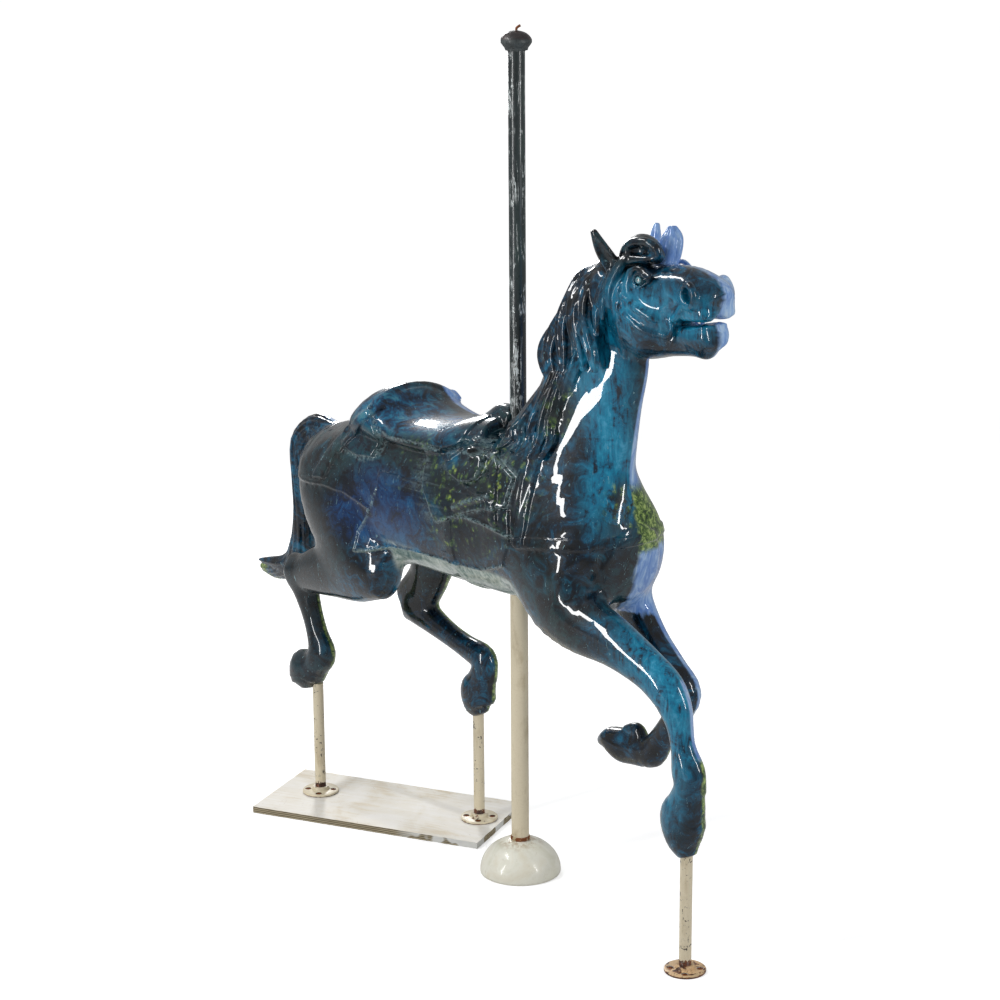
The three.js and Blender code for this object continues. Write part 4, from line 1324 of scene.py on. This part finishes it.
def board_finish():
    """Scuffed white paint on the faces, bare plies along the edges."""
    f = Finish("board_plywood", roughness=0.62, specular=0.3)
    along = f.moved((1, 1, 1), (0, 0, -math.radians(BOARD["turn"])))
    stretched = f.nodes.new("ShaderNodeMapping")
    f.put(stretched.inputs["Vector"], along)
    stretched.inputs["Scale"].default_value = (0.12, 1, 1)
    grain = f.noise(70, 7, 0.66, 0.5, stretched.outputs["Vector"])
    cloud = f.noise(6, 6, 0.62, 0.8)
    scuff = f.noise(36, 8, 0.72, 2.2)
    fleck = f.noise(160, 6, 0.7)
    top = f.ramp(f.sum("ADD", f.sum("MULTIPLY", cloud, 0.6), f.sum("MULTIPLY", grain, 0.4)),
                 [(0.4, tint(222, 210, 188)), (0.49, tint(240, 235, 224)), (0.6, tint(248, 245, 239))])
    top = f.mix(f.fade(scuff, 0.62, 0.7, 0, 0.55), top, tint(160, 136, 108))
    top = f.mix(f.fade(fleck, 0.72, 0.75, 0, 0.8), top, tint(96, 78, 62))
    bands = f.nodes.new("ShaderNodeTexWave")
    bands.bands_direction = "Z"
    f.put(bands.inputs["Vector"], f.place)
    bands.inputs["Scale"].default_value = math.tau / 20 / (2 * 16 * MM / BOARD["plies"])
    bands.inputs["Distortion"].default_value = 0.6
    plies = f.ramp(bands.outputs["Fac"], [(0.2, tint(74, 62, 48)), (0.42, tint(150, 138, 110)), (0.75, tint(186, 174, 146))])
    plies = f.mix(f.fade(grain, 0.4, 0.7, 0, 0.5), plies, tint(112, 100, 78))
    painted = f.sum("MULTIPLY", f.fade(f.axis("X"), -0.36, -0.3), f.fade(f.noise(13, 2, 0.5), 0.5, 0.53))
    plies = f.mix(painted, plies, tint(226, 226, 222))
    face = f.fade(f.axis("Z"), 0.01575, 0.0159)
    color = f.mix(face, plies, top)
    height = f.sum("ADD", grain, f.sum("MULTIPLY", scuff, 0.5))
    return f.done(color, f.fade(grain, 0.3, 0.7, 0.5, 0.75), height, depth=0.0008, strength=0.5)


def eye_paint():
    f = Finish("eye_paint", roughness=0.2, coat=1.0, coat_roughness=0.02)
    grain = f.noise(420, 5, 0.6)
    white = f.ramp(grain, [(0.35, tint(12, 44, 60)), (0.65, tint(40, 104, 122))])
    iris = f.ramp(grain, [(0.35, tint(70, 150, 168)), (0.65, tint(160, 206, 212))])
    color = f.mix(f.mask("iris"), white, iris)
    color = f.mix(f.mask("pupil"), color, tint(4, 8, 14))
    return f.done(color, f.fade(grain, 0.3, 0.7, 0.15, 0.3), grain, depth=0.0003, strength=0.2)


# ---- The paint's areas on the casting: [x, y, z, and its reach along x, y, z] -----------------
AREAS = {
    "neck_blue": [
        [330, -50, 1230, 70, 60, 120], [420, -60, 1410, 60, 30, 60], [560, -60, 660, 160, 90, 120],
        [600, -80, 480, 60, 60, 190], [360, -40, 1020, 60, 80, 120], [560, -40, 1400, 120, 40, 50],
    ],
    "haunch_dark": [
        [-560, -120, 760, 190, 90, 150], [-690, -90, 500, 90, 60, 190], [-620, -100, 620, 170, 60, 70],
    ],
    "blanket_blue": [[-290, -150, 850, 150, 70, 85], [-420, -150, 800, 90, 60, 60]],
    "seat_blue": [[-330, -90, 1060, 150, 120, 45], [-200, -60, 1050, 120, 90, 30]],
    "foliage": [
        [90, -140, 960, 120, 60, 110], [0, -150, 850, 120, 50, 60], [-80, -150, 940, 90, 50, 50],
        [230, -90, 1150, 50, 60, 60], [-200, -130, 990, 70, 60, 40], [380, -30, 960, 40, 60, 60],
    ],
}


# Where each leg's paint turns from dark to pale: x from, x to, highest z, side, y of the line.
LEG_SPLITS = [
    [380, 800, 640, -1, -81], [150, 800, 690, 1, 99], [-762, -300, 640, -1, -86], [-762, -150, 690, 1, 108],
]


SEAT_SPLIT = {"above": 965, "behind": 30, "line": 88}


def blob(points, x, y, z, *reach):
    off = (points - (x, y, z)) / reach
    return np.exp(-((off ** 2).sum(1) * 0.9) ** 2)


def paint_masks(mesh):
    """Where each area of the paint lies, as one number a point; the pale belly and the ridge lines also carry
    painted reflection and highlight.
    """
    count = len(mesh.vertices)
    points, normals = np.empty(count * 3, np.float32), np.empty(count * 3, np.float32)
    mesh.vertices.foreach_get("co", points)
    mesh.vertices.foreach_get("normal", normals)
    points, normals = points.reshape(-1, 3) / MM, normals.reshape(-1, 3)
    x, y, z = points.T
    masks = {name: np.clip(sum(blob(points, *row) for row in rows), 0, 1) for name, rows in AREAS.items()}
    split = np.zeros(count, np.float32)
    for low_x, high_x, top, side, middle in LEG_SPLITS:
        split = np.where((x > low_x) & (x < high_x) & (z < top) & (y * side > 0), middle, split)
    on_seat = (z > SEAT_SPLIT["above"]) & (x < SEAT_SPLIT["behind"])
    split = np.where(on_seat, SEAT_SPLIT["line"], split)
    masks["far"] = smooth(y, split - 1, split + 4)
    lower = np.where(x > 0, smooth(z, 486, 476), smooth(z, 640, 600))
    chest = smooth(z, 1010, 980) * smooth(z, 852, 858) * smooth(x, 120, 200)
    masks["meadow"] = np.clip(lower + chest, 0, 1)
    torso = smooth(x, -420, -340) * smooth(x, 190, 150)
    # The belly's underside, on faces turned down: its pale paint, and a painted reflection of the white floor.
    masks["belly_paint_and_floor_reflection"] = torso * smooth(z, 772, 760) * smooth(z, 640, 690) * smooth(normals[:, 2], -0.2, -0.45)
    # Nearness to the tack's raised edges, for pale lines there: rubbed paint and a painted highlight.
    lines = [BLANKET_EDGE, FLAP + FLAP[:1], FLAP_FOLD, GIRTH_TIE, SKIRT, SEAT_PANEL[1:12], ROLL]
    nearest = np.min([off_line(x, z, line) for line in lines], axis=0)
    masks["ridge"] = 0.5 * smooth(nearest, 6, 2) * smooth(np.abs(y), 20, 40) * smooth(z, 700, 740)
    for name, values in masks.items():
        mesh.attributes.new(name, "FLOAT", "POINT").data.foreach_set("value", values.astype(np.float32))


# ---- Stage ---------------------------------------------------------------------------------
CAMERA = {"place": (4.1443, -3.5094, 2.3326), "pitch": 14.819, "roll": -0.401, "lens": 90}


def make_camera():
    data = bpy.data.cameras.new("camera")
    data.lens = CAMERA["lens"]
    data.sensor_width = 36
    right = Vector((0.64032, 0.76810, 0))
    level = Vector((-0.76810, 0.64032, 0))
    pitch, roll = math.radians(CAMERA["pitch"]), math.radians(CAMERA["roll"])
    ahead = level * math.cos(pitch) - Vector((0, 0, math.sin(pitch)))
    up = right.cross(ahead)
    x_axis = right * math.cos(roll) + up * math.sin(roll)
    y_axis = up * math.cos(roll) - right * math.sin(roll)
    turn = Matrix((x_axis, y_axis, -ahead)).transposed()
    camera = bpy.data.objects.new("camera", data)
    camera.matrix_world = Matrix.Translation(CAMERA["place"]) @ turn.to_4x4()
    bpy.context.scene.collection.objects.link(camera)
    bpy.context.scene.camera = camera


SOFTBOXES = {
    "long_side": {"at": (-0.4, -3.4, 1.5), "to": (0.2, 0, 0.9), "size": (0.24, 2.4)},
    "front": {"at": (3.6, 0.6, 2.2), "to": (0.3, 0, 0.9), "size": (0.26, 2.2)},
    "overhead": {"at": (-1.2, -1.4, 3.4), "to": (0, 0, 0.9), "size": (1.5, 0.3)},
    "behind": {"at": (-2.8, 1.6, 2.2), "to": (-0.3, 0, 0.9), "size": (0.3, 1.8)},
}
GLOW = 24.0
ROOM = {"seen": 1.0, "lighting": 0.32}
FLOOR = {"seen": 0.92, "bounce": 0.55, "near": 0.45, "away": 0.74, "lighting": 0.06}


def make_world():
    world = bpy.data.worlds.new("studio")
    world.use_nodes = True
    nodes, links = world.node_tree.nodes, world.node_tree.links
    nodes["Background"].inputs["Color"].default_value = (1, 1, 1, 1)
    level = nodes.new("ShaderNodeMapRange")
    level.inputs["To Min"].default_value = ROOM["lighting"]
    level.inputs["To Max"].default_value = ROOM["seen"]
    links.new(nodes.new("ShaderNodeLightPath").outputs["Is Camera Ray"], level.inputs["Value"])
    links.new(level.outputs["Result"], nodes["Background"].inputs["Strength"])
    bpy.context.scene.world = world


def floor_white():
    """Pale and faintly shadowed near the object, and as white as the room further off."""
    material = bpy.data.materials.new("floor_white")
    material.use_nodes = True
    nodes, links = material.node_tree.nodes, material.node_tree.links
    shader = nodes["Principled BSDF"]
    shader.inputs["Roughness"].default_value = 0.9
    shader.inputs["Specular IOR Level"].default_value = 0
    shader.inputs["Emission Color"].default_value = (1, 1, 1, 1)
    distance = nodes.new("ShaderNodeVectorMath")
    distance.operation = "LENGTH"
    links.new(nodes.new("ShaderNodeTexCoord").outputs["Object"], distance.inputs[0])
    glow = nodes.new("ShaderNodeMapRange")
    glow.inputs["From Min"].default_value = 1.0
    glow.inputs["From Max"].default_value = 6.0
    glow.inputs["To Min"].default_value = FLOOR["near"]
    glow.inputs["To Max"].default_value = FLOOR["away"]
    links.new(distance.outputs["Value"], glow.inputs["Value"])
    camera_ray = nodes.new("ShaderNodeLightPath").outputs["Is Camera Ray"]
    pale = nodes.new("ShaderNodeMapRange")
    pale.inputs["To Min"].default_value = FLOOR["bounce"]
    pale.inputs["To Max"].default_value = FLOOR["seen"]
    links.new(camera_ray, pale.inputs["Value"])
    links.new(pale.outputs["Result"], shader.inputs["Base Color"])
    seen = nodes.new("ShaderNodeMapRange")
    seen.inputs["To Min"].default_value = FLOOR["lighting"]
    links.new(camera_ray, seen.inputs["Value"])
    links.new(glow.outputs["Result"], seen.inputs["To Max"])
    links.new(seen.outputs["Result"], shader.inputs["Emission Strength"])
    return material


def make_stage():
    bpy.ops.mesh.primitive_plane_add(size=400)
    floor = bpy.context.object
    floor.name = "floor"
    floor.data.materials.append(floor_white())
    bpy.context.scene.view_settings.view_transform = "Standard"
    for name, box in SOFTBOXES.items():
        data = bpy.data.lights.new(name, "AREA")
        data.shape = "RECTANGLE"
        data.size, data.size_y = box["size"]
        data.energy = GLOW * math.pi * data.size * data.size_y
        light = bpy.data.objects.new(name, data)
        light.location = box["at"]
        ahead = Vector(box["to"]) - light.location
        light.rotation_euler = ahead.to_track_quat("-Z", "Y").to_euler()
        bpy.context.scene.collection.objects.link(light)


def dress(node, finish):
    """Gives a CAD node that stays its better finish."""
    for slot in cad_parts[node].material_slots:
        slot.material = finish


make_camera()
make_world()
make_stage()
horse = make_horse()
paint_masks(horse.data)
horse.data.materials.append(horse_paint())
ridden(horse, "horse_paint", "horse")
eye_finish = eye_paint()
for name, side in (("eye_near", -1), ("eye_far", 1)):
    eye = make_eye(name, side)
    eye.data.materials.append(eye_finish)
    ridden(eye, "horse_paint")

upper, lower = make_poles()
upper.data.materials.append(sleeve_paint())
ridden(upper, "pole_charcoal", "upper_pole")
lower.data.materials.append(painted_steel("pole_cream", chips=0.74))
ridden(lower, "pole_cream", "lower_pole")
cap = make_cap()
cap.data.materials.append(cap_paint())
ridden(cap, "cap_charcoal", "finial")
collar = make_collar()
rust = rusty_iron(cream=0.49)
collar.data.materials.append(rust)
ridden(collar, "rust_iron", "pole_collar")
dress("finial_pin", rusty_iron("pin_rust", cream=0.9))
dome = make_dome()
dome.data.materials.append(dome_enamel())
ridden(dome, "dome_cream", "dome_base")
board = make_board()
board.data.materials.append(board_finish())
ridden(board, "board_plywood", "plywood_board")

drilled, screws = drilling_tree(), screw_tree()
rod_finish = painted_steel("rod_cream", chips=0.615, foot="foot")
screw_finish = rusty_iron("screw_rust", cream=0.9)
FLANGE_FINISHES = {
    "hind": painted_steel("flange_hind", chips=0.7, rim=(0.0182, 0.0176, 0.62)),
    "front": painted_steel("flange_front", chips=0.7, rim=(0.0042, 0.0034, 0.53), light=tint(222, 186, 140)),
}
for seed, name in enumerate(("hind_right", "hind_left", "front_right")):
    rod = make_rod(f"{name}_rod")
    rod.data.materials.append(rod_finish)
    ridden(rod, "rod_cream", f"{name}_rod")
    finish = FLANGE_FINISHES[name.split("_")[0]]
    ridden(make_flange(f"{name}_flange", drilled, finish), "flange_iron", f"{name}_flange")
    ridden(make_screws(f"{name}_flange", screws, screw_finish, seed), "flange_iron")
